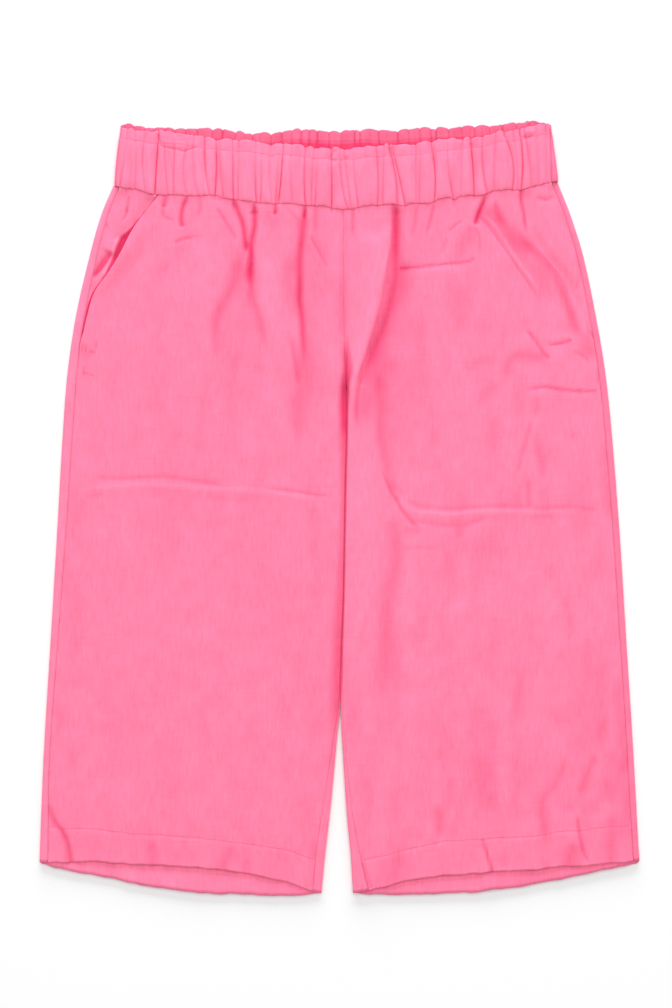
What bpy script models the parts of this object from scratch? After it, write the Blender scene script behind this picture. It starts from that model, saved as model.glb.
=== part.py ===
"""Linen culottes with a gathered waistband, laid flat with the front up.

The garment lies in the XY plane on its back, waist towards +Y and hems towards -Y.
Left and right are as seen from above, so left is -X.
Places on the garment are given in millimetres: x across it from the middle of its
width, and down from the top of the back heading towards the hems.
"""

import math
from collections import namedtuple

import bmesh
import bpy
from mathutils import Vector

GARMENT = "culottes"
MM = 0.001

# Where the search for a level of a leg panel starts
LEG_MIDDLE = 120.0
POCKET_MIDDLE = 190.0

# Main sizes
LENGTH = 740.0
HALF_LENGTH = LENGTH / 2
SEAM_GAP = 0.3
HALF_GAP = SEAM_GAP / 2
CURVED_GAP = 0.5
CLOTH = 1.4
HEM_CLOTH = 2.0
HEM_DEPTH = 33.0
HEM_STEP = 3.0

# Heights of the front's face above the surface that the garment lies on
SIDE_HEIGHT = 4.0
LEFT_INSEAM_HEIGHT = 4.0
RIGHT_INSEAM_HEIGHT = 5.0
LOWEST_FRONT = CLOTH + SEAM_GAP + CLOTH + 0.1
LOWEST_HEM = HEM_CLOTH + SEAM_GAP + HEM_CLOTH + 0.1
WAIST_HEIGHT = 5.2
PUFF = 1.6
PUFF_REACH = 45.0
EDGE_REACH = 18.0
WAIST_REACH = 20.0
WAIST_SHARE = 0.6

# The rise: where the two legs part, and the seam between the halves above it
CROTCH = 256.0
CROTCH_BLEND = 3.5
CROTCH_RISE = 6.0
CENTRE_TOP = 3.5
CENTRE_CROTCH = 6.8

# Pocket: the front lies over its facing, gapes a little on the left, and ends at the side seam
UNDERLAP = 12.0
POCKET_END = 213.0
POCKET_END_BLEND = 8.0
POCKET_HEIGHT = 5.9
POCKET_REACH = 32.0
POCKET_FADE = 16.0
GAPE_HEIGHT = 2.6
GAPE_MIDDLE = 122.0
GAPE_REACH = 42.0
FACING_END = 206.0
FACING_SINK = 0.9
FACING_SINK_REACH = 30.0
FACING_SAG = 0.5
FACING_SAG_REACH = 36.0

# Waistband
BAND_WALL = 1.3
BAND_SIDE_RADIUS = 3.0
RUFFLE_LIFT = 1.1
HEADING_PART = 0.18
FRONT_CREST_SHARE = 0.1
FRONT_CREST_HIGHEST = 1.1
BACK_CREST_SHARE = 0.05
BACK_CREST_HIGHEST = 0.6

Outline = namedtuple("Outline", "down left right")
OUTLINE = (
    Outline(down=61, left=-215.0, right=207.5),
    Outline(down=88, left=-226.5, right=219.0),
    Outline(down=127, left=-238.3, right=231.6),
    Outline(down=184, left=-251.6, right=243.0),
    Outline(down=240, left=-259.5, right=252.5),
    Outline(down=299, left=-264.1, right=259.3),
    Outline(down=395, left=-269.8, right=266.5),
    Outline(down=490, left=-275.3, right=272.7),
    Outline(down=600, left=-282.0, right=279.5),
    Outline(down=681, left=-285.5, right=284.3),
    Outline(down=708, left=-286.0, right=286.0),
)

# Inner edge of each leg below the crotch
Inner = namedtuple("Inner", "down left right")
INNER = (
    Inner(down=256, left=6.7, right=7.2),
    Inner(down=300, left=6.9, right=7.4),
    Inner(down=349, left=5.2, right=5.7),
    Inner(down=457, left=3.1, right=3.6),
    Inner(down=560, left=0.7, right=1.2),
    Inner(down=585, left=-2.4, right=2.2),
    Inner(down=624, left=-6.2, right=4.3),
    Inner(down=662, left=-10.0, right=6.3),
    Inner(down=700, left=-14.8, right=11.0),
    Inner(down=740, left=-18.5, right=13.0),
)

# How far the back panels come round to the front at the side seams and inseams
Turn = namedtuple("Turn", "down left_side right_side left_inseam right_inseam")
TURN = (
    Turn(down=61, left_side=6.5, right_side=6.0, left_inseam=3.4, right_inseam=3.2),
    Turn(down=209, left_side=8.7, right_side=6.5, left_inseam=3.4, right_inseam=3.2),
    Turn(down=300, left_side=9.4, right_side=6.5, left_inseam=3.4, right_inseam=3.2),
    Turn(down=500, left_side=7.0, right_side=6.0, left_inseam=3.4, right_inseam=3.2),
    Turn(down=577, left_side=6.0, right_side=5.8, left_inseam=3.8, right_inseam=3.2),
    Turn(down=635, left_side=6.0, right_side=5.8, left_inseam=6.0, right_inseam=4.0),
    Turn(down=690, left_side=7.8, right_side=5.8, left_inseam=8.4, right_inseam=7.5),
    Turn(down=735, left_side=8.5, right_side=5.8, left_inseam=8.6, right_inseam=15.5),
)

# Slanted pocket openings
Slant = namedtuple("Slant", "down left right")
SLANT = (
    Slant(down=66, left=-169.0, right=174.0),
    Slant(down=88, left=-186.6, right=176.8),
    Slant(down=104, left=-197.8, right=180.2),
    Slant(down=128, left=-210.1, right=195.0),
    Slant(down=144, left=-220.3, right=208.8),
    Slant(down=163, left=-233.6, right=221.5),
    Slant(down=187, left=-241.0, right=234.0),
    Slant(down=213, left=-246.6, right=239.9),
)

# Waistband edges across its width
Band = namedtuple("Band", "x front_top seam back_top")
BAND = (
    Band(x=-215, front_top=7.0, seam=61.3, back_top=5.0),
    Band(x=-185, front_top=9.5, seam=66.0, back_top=5.7),
    Band(x=-160, front_top=10.5, seam=70.0, back_top=6.4),
    Band(x=-134, front_top=14.6, seam=70.7, back_top=7.2),
    Band(x=-108, front_top=18.3, seam=73.5, back_top=8.2),
    Band(x=-80, front_top=21.0, seam=76.5, back_top=9.6),
    Band(x=-53, front_top=23.4, seam=78.4, back_top=8.4),
    Band(x=-27, front_top=25.0, seam=80.4, back_top=8.6),
    Band(x=0, front_top=26.2, seam=83.3, back_top=9.5),
    Band(x=27, front_top=24.6, seam=80.6, back_top=9.0),
    Band(x=53, front_top=22.8, seam=79.2, back_top=8.4),
    Band(x=80, front_top=20.8, seam=77.8, back_top=6.6),
    Band(x=107, front_top=17.8, seam=74.5, back_top=5.0),
    Band(x=134, front_top=14.8, seam=70.7, back_top=3.4),
    Band(x=160, front_top=9.2, seam=65.0, back_top=1.8),
    Band(x=186, front_top=4.8, seam=61.6, back_top=1.4),
    Band(x=208, front_top=4.2, seam=57.5, back_top=4.5),
)
BACK_SEAM_DIP = 5.0
BAND_TOP_LEFT = -210.6
BAND_TOP_RIGHT = 203.0
BAND_FOOT_LEFT = -215.0
BAND_FOOT_RIGHT = 207.6

# One row for each gather of the front waistband: its x at the heading and at the seam,
# its depth, and how far it runs on into the leg below the seam
Gather = namedtuple("Gather", "top foot depth reach")
FRONT_GATHERS = (
    Gather(top=-201.0, foot=-197.0, depth=0.7, reach=0),
    Gather(top=-187.0, foot=-187.4, depth=1.1, reach=0),
    Gather(top=-173.4, foot=-176.2, depth=1.7, reach=0),
    Gather(top=-166.0, foot=-164.8, depth=1.1, reach=0),
    Gather(top=-157.0, foot=-158.0, depth=1.1, reach=16),
    Gather(top=-147.5, foot=-146.4, depth=0.8, reach=24),
    Gather(top=-136.8, foot=-136.0, depth=0.7, reach=0),
    Gather(top=-129.0, foot=-126.0, depth=1.3, reach=12),
    Gather(top=-118.0, foot=-118.8, depth=1.7, reach=14),
    Gather(top=-111.6, foot=-111.0, depth=0.8, reach=22),
    Gather(top=-101.7, foot=-101.0, depth=1.5, reach=10),
    Gather(top=-94.6, foot=-93.6, depth=0.7, reach=0),
    Gather(top=-82.0, foot=-79.6, depth=1.1, reach=26),
    Gather(top=-75.6, foot=-74.6, depth=1.0, reach=0),
    Gather(top=-66.0, foot=-64.0, depth=0.8, reach=14),
    Gather(top=-54.6, foot=-58.4, depth=1.7, reach=12),
    Gather(top=-47.0, foot=-47.8, depth=0.7, reach=0),
    Gather(top=-33.9, foot=-32.6, depth=1.5, reach=26),
    Gather(top=-25.6, foot=-23.8, depth=1.0, reach=16),
    Gather(top=-16.4, foot=-16.4, depth=0.7, reach=0),
    Gather(top=-6.6, foot=-8.2, depth=1.5, reach=12),
    Gather(top=1.2, foot=2.6, depth=1.1, reach=0),
    Gather(top=10.0, foot=12.4, depth=0.7, reach=10),
    Gather(top=18.8, foot=23.4, depth=0.8, reach=0),
    Gather(top=28.4, foot=29.0, depth=0.7, reach=12),
    Gather(top=35.2, foot=36.0, depth=1.7, reach=0),
    Gather(top=42.0, foot=42.6, depth=0.7, reach=0),
    Gather(top=48.6, foot=51.8, depth=1.3, reach=28),
    Gather(top=55.4, foot=59.0, depth=1.5, reach=0),
    Gather(top=64.6, foot=66.4, depth=0.7, reach=12),
    Gather(top=72.2, foot=73.0, depth=1.1, reach=0),
    Gather(top=79.0, foot=79.0, depth=1.1, reach=16),
    Gather(top=87.4, foot=89.8, depth=1.7, reach=12),
    Gather(top=97.4, foot=98.0, depth=0.7, reach=0),
    Gather(top=104.4, foot=106.8, depth=1.1, reach=14),
    Gather(top=115.0, foot=119.0, depth=1.0, reach=10),
    Gather(top=125.2, foot=128.4, depth=1.7, reach=14),
    Gather(top=133.0, foot=135.0, depth=0.8, reach=0),
    Gather(top=139.0, foot=141.0, depth=1.4, reach=22),
    Gather(top=149.4, foot=149.0, depth=0.8, reach=0),
    Gather(top=160.8, foot=162.8, depth=1.5, reach=12),
    Gather(top=167.4, foot=168.4, depth=0.7, reach=0),
    Gather(top=173.6, foot=175.0, depth=1.7, reach=0),
    Gather(top=182.0, foot=184.6, depth=1.1, reach=0),
    Gather(top=192.4, foot=193.0, depth=0.8, reach=0),
)

# One row for each gather of the back waistband, seen inside it above the front heading
BackGather = namedtuple("BackGather", "x depth")
BACK_GATHERS = (
    BackGather(x=-186, depth=0.4),
    BackGather(x=-167, depth=0.5),
    BackGather(x=-148, depth=0.5),
    BackGather(x=-122, depth=0.7),
    BackGather(x=-100, depth=0.5),
    BackGather(x=-83, depth=0.6),
    BackGather(x=-75, depth=0.4),
    BackGather(x=-55, depth=0.6),
    BackGather(x=-37, depth=0.7),
    BackGather(x=-29, depth=0.5),
    BackGather(x=-21, depth=0.6),
    BackGather(x=0, depth=0.4),
    BackGather(x=15, depth=0.7),
    BackGather(x=21, depth=0.4),
    BackGather(x=38, depth=0.6),
    BackGather(x=56, depth=0.7),
    BackGather(x=77, depth=0.5),
    BackGather(x=88, depth=0.7),
    BackGather(x=97, depth=0.5),
    BackGather(x=117, depth=0.6),
    BackGather(x=141, depth=0.7),
    BackGather(x=152, depth=0.4),
    BackGather(x=170, depth=0.5),
    BackGather(x=188, depth=0.4),
)

# Levels of the waistband from its top edge (0) to its seam (1): heights of the front
# wall's two faces, how strongly the gathers show, and the back wall's upper face
BandLevel = namedtuple("BandLevel", "part front inside ripple back")
BAND_LEVELS = (
    BandLevel(part=0.00, front=6.4, inside=4.2, ripple=1.0, back=1.5),
    BandLevel(part=0.09, front=6.6, inside=4.2, ripple=0.9, back=1.6),
    BandLevel(part=0.18, front=5.4, inside=3.5, ripple=0.5, back=1.6),
    BandLevel(part=0.30, front=7.0, inside=3.7, ripple=1.0, back=2.2),
    BandLevel(part=0.58, front=7.3, inside=3.7, ripple=1.0, back=2.3),
    BandLevel(part=0.86, front=6.9, inside=3.7, ripple=1.0, back=2.2),
    BandLevel(part=1.00, front=5.7, inside=3.5, ripple=0.6, back=1.6),
)

# Largest folds of the front: each runs from (x0, d0) by (x1, d1) to (x2, d2), with its
# height, and its half widths on the left and right hand of someone who walks along it
Fold = namedtuple("Fold", "x0 d0 x1 d1 x2 d2 height left right")
FOLDS = (
    # Left hip
    Fold(x0=-147, d0=72, x1=-155, d1=92, x2=-132, d2=108, height=2.2, left=7, right=8),
    Fold(x0=-113, d0=72, x1=-97, d1=98, x2=-88, d2=132, height=3.0, left=8, right=14),
    # Deep fold at the left of the centre, with a soft branch that runs down the leg
    Fold(x0=-74, d0=76, x1=-72, d1=122, x2=-66, d2=196, height=6.3, left=16, right=7),
    Fold(x0=-126, d0=150, x1=-134, d1=190, x2=-132, d2=236, height=2.2, left=14, right=20),
    Fold(x0=-98, d0=176, x1=-100, d1=214, x2=-94, d2=262, height=1.9, left=14, right=12),
    # Second fold from the waist, beside the centre
    Fold(x0=-19, d0=78, x1=-24, d1=124, x2=-28, d2=214, height=4.8, left=16, right=8),
    Fold(x0=-56, d0=150, x1=-60, d1=200, x2=-54, d2=252, height=2.2, left=8, right=14),
    # Centre strip, raised as far as the ridge that crosses to the crotch
    Fold(x0=20, d0=78, x1=22, d1=130, x2=16, d2=216, height=3.9, left=18, right=18),
    Fold(x0=46, d0=78, x1=46, d1=116, x2=41, d2=168, height=6.9, left=6, right=16),
    Fold(x0=43, d0=158, x1=33, d1=204, x2=11, d2=268, height=7.2, left=6, right=16),
    # Right hip
    Fold(x0=134, d0=72, x1=130, d1=88, x2=121, d2=106, height=3.6, left=9, right=6),
    Fold(x0=54, d0=145, x1=98, d1=141, x2=136, d2=131, height=2.8, left=5, right=10),
    Fold(x0=132, d0=92, x1=160, d1=116, x2=194, d2=176, height=3.9, left=12, right=6),
    Fold(x0=100, d0=160, x1=104, d1=200, x2=98, d2=250, height=2.2, left=20, right=14),
    Fold(x0=190, d0=217, x1=205, d1=216, x2=224, d2=213, height=1.8, left=4, right=6),
    Fold(x0=170, d0=262, x1=206, d1=258, x2=244, d2=260, height=1.9, left=4, right=7),
    Fold(x0=176, d0=204, x1=188, d1=216, x2=198, d2=228, height=1.6, left=5, right=6),
    # Crease across both legs from the way that the garment was folded away
    Fold(x0=-243, d0=345, x1=-130, d1=351, x2=-4, d2=363, height=2.0, left=4, right=8),
    Fold(x0=36, d0=296, x1=44, d1=346, x2=72, d2=388, height=2.8, left=7, right=6),
    Fold(x0=64, d0=376, x1=112, d1=387, x2=146, d2=376, height=2.2, left=4, right=8),
    Fold(x0=146, d0=376, x1=196, d1=370, x2=252, d2=379, height=1.9, left=4, right=8),
    # Soft lengthwise folds of the right leg
    Fold(x0=30, d0=392, x1=33, d1=460, x2=30, d2=540, height=2.0, left=16, right=14),
    Fold(x0=84, d0=404, x1=80, d1=460, x2=82, d2=540, height=1.6, left=18, right=16),
    # Folds at the hems
    Fold(x0=-275, d0=656, x1=-260, d1=678, x2=-256, d2=706, height=2.2, left=6, right=7),
    Fold(x0=134, d0=680, x1=139, d1=698, x2=146, d2=716, height=2.8, left=6, right=5),
    Fold(x0=226, d0=622, x1=236, d1=640, x2=244, d2=654, height=1.6, left=7, right=7),
)
FOLD_STEPS = 12
FOLD_START = 0.18
FOLD_END = 0.25

# The gathers below the waist seam
GATHER_WIDTH = 3.6

# Hem edges, front and back
Hem = namedtuple("Hem", "x front back")
HEMS = (
    Hem(x=-286, front=706.0, back=707.0),
    Hem(x=-265, front=706.6, back=713.2),
    Hem(x=-230, front=706.4, back=721.0),
    Hem(x=-190, front=708.8, back=729.4),
    Hem(x=-141, front=711.0, back=735.4),
    Hem(x=-97, front=716.2, back=738.4),
    Hem(x=-54, front=724.6, back=739.4),
    Hem(x=-19, front=737.6, back=737.6),
    Hem(x=13, front=737.8, back=737.8),
    Hem(x=32, front=732.4, back=739.2),
    Hem(x=71, front=723.0, back=739.2),
    Hem(x=104, front=718.8, back=738.0),
    Hem(x=148, front=715.6, back=734.2),
    Hem(x=184, front=713.6, back=728.8),
    Hem(x=232, front=709.6, back=719.0),
    Hem(x=286, front=705.4, back=706.4),
)

# Distances below the waist seam, and above the hem, of the front panels' rows
FRONT_ROWS_BELOW_WAIST = (0, 7, 15, 24, 34, 45, 57, 70, 84, 98, 112, 126, 140, 152, 169, 173, 188)
FRONT_ROWS_ABOVE_HEM = (372, 358, 345, 320, 270, 220, 165, 110, 70, 45, HEM_DEPTH, 16, 0)
FRONT_MIDDLE_ROWS = 4
GATHERED_SHARE = 0.14

# Rows of the back panels, as shares of their length, with one level at the crotch
BACK_ROWS_ABOVE_CROTCH = (0.0, 0.08, 0.17, 0.27, 0.38, 0.5, 0.62, 0.75, 0.88, 0.99, 1.0)
BACK_ROWS_BELOW_CROTCH = (0.05, 0.12, 0.22, 0.34, 0.46, 0.56, 0.63, 0.7, 0.78, 0.86, 0.92, 0.96, 1.0)
BACK_FLAT_COLUMNS = 7
ARC_STEPS = 4
FACING_COLUMNS = 6
FACING_ROWS = 11

# A place on a back panel's two faces, with its shares of the front's edges and of the side
BackPoint = namedtuple("BackPoint", "x z inner_x inner_z front side")
SETTLE_STEPS = 6

Leg = namedtuple("Leg", "side sign")
LEGS = (Leg(side="left", sign=-1), Leg(side="right", sign=1))

# Finish
LINEN = (0.973, 0.238, 0.413, 1.0)
LINEN_INSIDE = (0.955, 0.190, 0.350, 1.0)
LINEN_ROUGHNESS = 0.86


def smooth_curve(places, values):
    """A smooth curve through a short table, straight beyond its ends."""
    slopes = []
    last = len(places) - 1
    for index in range(last + 1):
        before, after = max(index - 1, 0), min(index + 1, last)
        slopes.append((values[after] - values[before]) / (places[after] - places[before]))

    def read(place):
        if place <= places[0]:
            return values[0] + slopes[0] * (place - places[0])
        if place >= places[last]:
            return values[last] + slopes[last] * (place - places[last])
        index = max(i for i in range(last) if places[i] <= place)
        span = places[index + 1] - places[index]
        t = (place - places[index]) / span
        return (
            (2 * t**3 - 3 * t**2 + 1) * values[index]
            + (t**3 - 2 * t**2 + t) * span * slopes[index]
            + (3 * t**2 - 2 * t**3) * values[index + 1]
            + (t**3 - t**2) * span * slopes[index + 1]
        )

    return read


def column_curve(table, place, value):
    return smooth_curve([getattr(row, place) for row in table], [getattr(row, value) for row in table])


OUTER_EDGE = {leg.side: column_curve(OUTLINE, "down", leg.side) for leg in LEGS}
INNER_EDGE = {leg.side: column_curve(INNER, "down", leg.side) for leg in LEGS}
SIDE_TURN = {leg.side: column_curve(TURN, "down", leg.side + "_side") for leg in LEGS}
INSEAM_TURN = {leg.side: column_curve(TURN, "down", leg.side + "_inseam") for leg in LEGS}
POCKET_EDGE = {leg.side: column_curve(SLANT, "down", leg.side) for leg in LEGS}
FRONT_TOP = column_curve(BAND, "x", "front_top")
FRONT_SEAM = column_curve(BAND, "x", "seam")
BACK_TOP = column_curve(BAND, "x", "back_top")
FRONT_HEM = column_curve(HEMS, "x", "front")
BACK_HEM = column_curve(HEMS, "x", "back")
CENTRE = smooth_curve([FRONT_SEAM(0), CROTCH], [CENTRE_TOP, CENTRE_CROTCH])


def back_seam(x):
    """Lower edge of the back of the waistband, which meets the front's at the sides."""
    across = (x - BAND_FOOT_LEFT) / (BAND_FOOT_RIGHT - BAND_FOOT_LEFT)
    level = mix(FRONT_SEAM(BAND_FOOT_LEFT), FRONT_SEAM(BAND_FOOT_RIGHT), across)
    return level + 4 * BACK_SEAM_DIP * across * (1 - across)


def mix(a, b, share):
    return a + (b - a) * share


def ease(share):
    """0 below 0, 1 above 1, with a soft start and end between."""
    t = min(max(share, 0.0), 1.0)
    return t * t * (3 - 2 * t)


def bell(share):
    """1 at 0, falling to 0 at 1 and beyond."""
    return 1 - ease(abs(share))


def place(x, down, height):
    """A point of the garment in metres."""
    return Vector((x * MM, (HALF_LENGTH - down) * MM, height * MM))


def fold_points(fold):
    """Points along a fold, on the curve that passes through its three places."""
    bend_x = 2 * fold.x1 - (fold.x0 + fold.x2) / 2
    bend_d = 2 * fold.d1 - (fold.d0 + fold.d2) / 2
    points = []
    for step in range(FOLD_STEPS + 1):
        t = step / FOLD_STEPS
        x = (1 - t) ** 2 * fold.x0 + 2 * t * (1 - t) * bend_x + t**2 * fold.x2
        down = (1 - t) ** 2 * fold.d0 + 2 * t * (1 - t) * bend_d + t**2 * fold.d2
        points.append((x, down))
    return points


FOLD_LINES = [(fold, fold_points(fold)) for fold in FOLDS]


def fold_height(fold, points, x, down):
    """Height that one fold adds at a place."""
    reach = max(fold.left, fold.right)
    if not min(p[0] for p in points) - reach < x < max(p[0] for p in points) + reach:
        return 0.0
    nearest, along, hand = None, 0.0, 1.0
    for step in range(FOLD_STEPS):
        (ax, ad), (bx, bd) = points[step], points[step + 1]
        run_x, run_d = bx - ax, bd - ad
        t = ((x - ax) * run_x + (down - ad) * run_d) / (run_x**2 + run_d**2)
        t = min(max(t, 0.0), 1.0)
        off_x, off_d = x - ax - t * run_x, down - ad - t * run_d
        distance = math.hypot(off_x, off_d)
        if nearest is None or distance < nearest:
            nearest = distance
            along = (step + t) / FOLD_STEPS
            hand = run_x * off_d - run_d * off_x
    width = fold.right if hand > 0 else fold.left
    ends = ease(along / FOLD_START) * ease((1 - along) / FOLD_END)
    return fold.height * bell(nearest / width) * ends


def gather_height(x, down):
    """The gathers run on a little way into the legs below the waist seam."""
    below = down - FRONT_SEAM(x)
    total = 0.0
    for gather in FRONT_GATHERS:
        if gather.reach:
            total -= gather.depth * bell((x - gather.foot) / GATHER_WIDTH) * ease(1 - below / gather.reach)
    return total


def pocket_shape(leg, x, down):
    """How far the front is lifted where it lies over the pocket facing."""
    inside = (POCKET_EDGE[leg.side](down) - x) * leg.sign
    over = ease(1 - (inside - UNDERLAP) / (POCKET_REACH - UNDERLAP))
    return over * ease((POCKET_END + POCKET_FADE - down) / POCKET_FADE)


def pocket_gape(leg, down):
    """The left pocket stands open a little, and the right one lies closed."""
    return GAPE_HEIGHT * bell((down - GAPE_MIDDLE) / GAPE_REACH) if leg.side == "left" else 0.0


def front_height(leg, x, down):
    """Height of the front's face, from the folds, seams and edges."""
    edge = side_seam(leg, down)
    inseam = inner_seam(leg, down)
    to_side = (edge - x) * leg.sign
    to_inseam = (x - inseam) * leg.sign
    below_crotch = ease((down - CROTCH + CROTCH_RISE) / (2 * CROTCH_RISE))
    to_inseam = mix(PUFF_REACH, to_inseam, below_crotch)
    rest = mix(SIDE_HEIGHT, inseam_height(leg), ease(1 - to_inseam / PUFF_REACH) * below_crotch)
    relief = PUFF * ease(min(to_side, to_inseam) / PUFF_REACH)
    for fold, points in FOLD_LINES:
        relief += fold_height(fold, points, x, down)
    height = rest + relief * ease(min(to_side, to_inseam) / EDGE_REACH)
    waist = ease(1 - (down - FRONT_SEAM(x)) / WAIST_REACH)
    height = mix(height, max(WAIST_HEIGHT, mix(height, WAIST_HEIGHT, WAIST_SHARE)), waist)
    height += gather_height(x, down)
    covered = pocket_shape(leg, x, down)
    height = mix(height, max(height, POCKET_HEIGHT), covered)
    height += covered * pocket_gape(leg, down)
    return max(height, mix(LOWEST_FRONT, LOWEST_HEM, in_hem(FRONT_HEM(x), down)))


def in_hem(edge, down):
    """1 within the turned hem above an edge, where the cloth is double, and 0 elsewhere."""
    return ease((down - edge + HEM_DEPTH) / HEM_STEP + 1)


def inseam_height(leg):
    return LEFT_INSEAM_HEIGHT if leg.side == "left" else RIGHT_INSEAM_HEIGHT


def side_seam(leg, down):
    """Where the front meets the back's turned edge at the side."""
    return OUTER_EDGE[leg.side](down) - leg.sign * SIDE_TURN[leg.side](down)


def inner_seam(leg, down):
    """The centre front seam above the crotch, and the inseam below it."""
    centre = CENTRE(down)
    inseam = INNER_EDGE[leg.side](down) + leg.sign * INSEAM_TURN[leg.side](down)
    return mix(centre, inseam, ease((down - CROTCH + CROTCH_BLEND) / CROTCH_BLEND))


def front_edges(leg, down):
    """The front panel's outer and inner x at a level, with their seam gaps."""
    slant = POCKET_EDGE[leg.side](down)
    seam = side_seam(leg, down) - leg.sign * CURVED_GAP
    outer = mix(slant, seam, ease((down - POCKET_END) / POCKET_END_BLEND + 1))
    below_crotch = ease((down - CROTCH + CROTCH_BLEND) / CROTCH_BLEND)
    gap = mix(HALF_GAP, CURVED_GAP, below_crotch)
    return outer, inner_seam(leg, down) + leg.sign * gap


def shell(name, outer, inner, cells, material):
    """Close two matching nets, the two faces of the cloth, into one solid wall."""
    mesh = bpy.data.meshes.new(name)
    shape = bmesh.new()
    out = {key: shape.verts.new(point) for key, point in outer.items()}
    into = {key: shape.verts.new(point) for key, point in inner.items()}
    for cell in cells:
        shape.faces.new([out[key] for key in cell])
    rim = [edge for edge in shape.edges if edge.is_boundary]
    keys = {vert: key for key, vert in out.items()}
    rim_keys = [[keys[vert] for vert in edge.verts] for edge in rim]
    for cell in cells:
        shape.faces.new([into[key] for key in reversed(cell)])
    for first, second in rim_keys:
        shape.faces.new([out[first], out[second], into[second], into[first]])
    bmesh.ops.recalc_face_normals(shape, faces=shape.faces)
    bmesh.ops.triangulate(shape, faces=shape.faces, quad_method="SHORT_EDGE")
    shape.to_mesh(mesh)
    shape.free()
    mesh.shade_smooth()
    mesh.materials.append(material)
    piece = bpy.data.objects.new(name, mesh)
    bpy.data.collections[GARMENT].objects.link(piece)
    return piece


def net_cells(rows, columns, closed=False):
    """The four corner keys of each cell in a net of rows and columns."""
    cells = []
    for row in range(rows - 1):
        for column in range(columns if closed else columns - 1):
            after = (column + 1) % columns
            cells.append(((row, column), (row + 1, column), (row + 1, after), (row, after)))
    return cells


def linen(name, colour):
    material = bpy.data.materials.new(name)
    material.use_nodes = True
    finish = material.node_tree.nodes["Principled BSDF"]
    finish.inputs["Base Color"].default_value = colour
    finish.inputs["Roughness"].default_value = LINEN_ROUGHNESS
    finish.inputs["Metallic"].default_value = 0.0
    return material


def front_rows():
    """Levels of a front panel: a distance below the waist or above the hem, whichever is set."""
    rows = [(below, None) for below in FRONT_ROWS_BELOW_WAIST]
    rows += [(None, step / (FRONT_MIDDLE_ROWS + 1)) for step in range(1, FRONT_MIDDLE_ROWS + 1)]
    return rows + [(above, "hem") for above in FRONT_ROWS_ABOVE_HEM]


def front_level(row, x):
    """How far down a row of the front panel lies at x."""
    amount, kind = row
    top = FRONT_SEAM(x) + HALF_GAP
    bottom = FRONT_HEM(x)
    if kind is None:
        return top + amount
    if kind == "hem":
        return bottom - amount
    first = top + FRONT_ROWS_BELOW_WAIST[-1]
    return mix(first, bottom - FRONT_ROWS_ABOVE_HEM[0], kind)


def front_columns(leg):
    """Shares of the front panel's width at its waist, one column in each gather and between."""
    outer, inner = front_edges(leg, FRONT_SEAM(leg.sign * POCKET_MIDDLE))
    places = [g.foot for g in FRONT_GATHERS if g.reach and min(outer, inner) + 4 < g.foot < max(outer, inner) - 4]
    shares = sorted((x - outer) / (inner - outer) for x in places)
    columns = [0.0]
    for share in shares:
        columns += [(columns[-1] + share) / 2, share]
    columns += [(columns[-1] + 1) / 2, 1.0]
    return columns


def build_front_leg(leg):
    gathered = front_columns(leg)
    count = len(gathered)
    outer, inner = {}, {}
    rows = front_rows()
    for index, row in enumerate(rows):
        spread = ease(index / len(rows) / GATHERED_SHARE / 2)
        for column in range(count):
            share = mix(gathered[column], column / (count - 1), spread)
            down = front_level(row, leg.sign * LEG_MIDDLE)
            for _ in range(SETTLE_STEPS):
                outside, inside = front_edges(leg, down)
                x = mix(outside, inside, share)
                down = front_level(row, x)
            height = front_height(leg, x, down)
            wall = mix(CLOTH, HEM_CLOTH, in_hem(FRONT_HEM(x), down))
            outer[index, column] = place(x, down, height)
            inner[index, column] = place(x, down, height - wall)
    cells = net_cells(len(rows), count)
    return shell(f"front_leg_{leg.side}", outer, inner, cells, linen(f"front_linen_{leg.side}", LINEN))


def arc_point(centre, sign, height, step):
    """Outer and inner place of one step of a rounded edge, from its top to its underside."""
    angle = math.pi / 2 - math.pi * step / ARC_STEPS
    radius = height / 2
    across, up = sign * math.cos(angle), math.sin(angle)
    inner = radius - CLOTH
    return centre + radius * across, radius + radius * up, centre + inner * across, radius + inner * up


def back_point(leg, column, down, wrapped):
    """One column of a back panel: turned side, flat back, then the turned inseam."""
    sign = leg.sign
    edge = OUTER_EDGE[leg.side](down)
    centre = edge - sign * SIDE_HEIGHT / 2
    if column == 0:
        end = side_seam(leg, down)
        return BackPoint(end, SIDE_HEIGHT, end, SIDE_HEIGHT - CLOTH, 1.0, 1.0)
    if column <= ARC_STEPS + 1:
        step = column - 1
        return BackPoint(*arc_point(centre, sign, SIDE_HEIGHT, step), 1 - step / ARC_STEPS, 1.0)
    height = inseam_height(leg)
    inner_edge = INNER_EDGE[leg.side](down)
    inner_centre = inner_edge + sign * height / 2
    flat_end = inner_centre if wrapped else CENTRE(down) + sign * HALF_GAP
    column -= ARC_STEPS + 1
    if column <= BACK_FLAT_COLUMNS:
        x = mix(centre, flat_end, column / BACK_FLAT_COLUMNS)
        return BackPoint(x, 0.0, x, CLOTH, 0.0, 0.0)
    column -= BACK_FLAT_COLUMNS
    if column <= ARC_STEPS:
        step = ARC_STEPS - column
        return BackPoint(*arc_point(inner_centre, -sign, height, step), column / ARC_STEPS, 0.0)
    end = inner_edge + sign * INSEAM_TURN[leg.side](down)
    return BackPoint(end, height, end, height - CLOTH, 1.0, 0.0)


def back_level(point, share, below_crotch):
    """How far down a point of the back panel lies, between the waist seam, crotch and hem."""
    if below_crotch:
        return mix(CROTCH, mix(BACK_HEM(point.x), FRONT_HEM(point.x), point.front), share)
    top = mix(back_seam(point.x), FRONT_SEAM(point.x), point.front * point.side)
    return mix(top + HALF_GAP, CROTCH, share)


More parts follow.
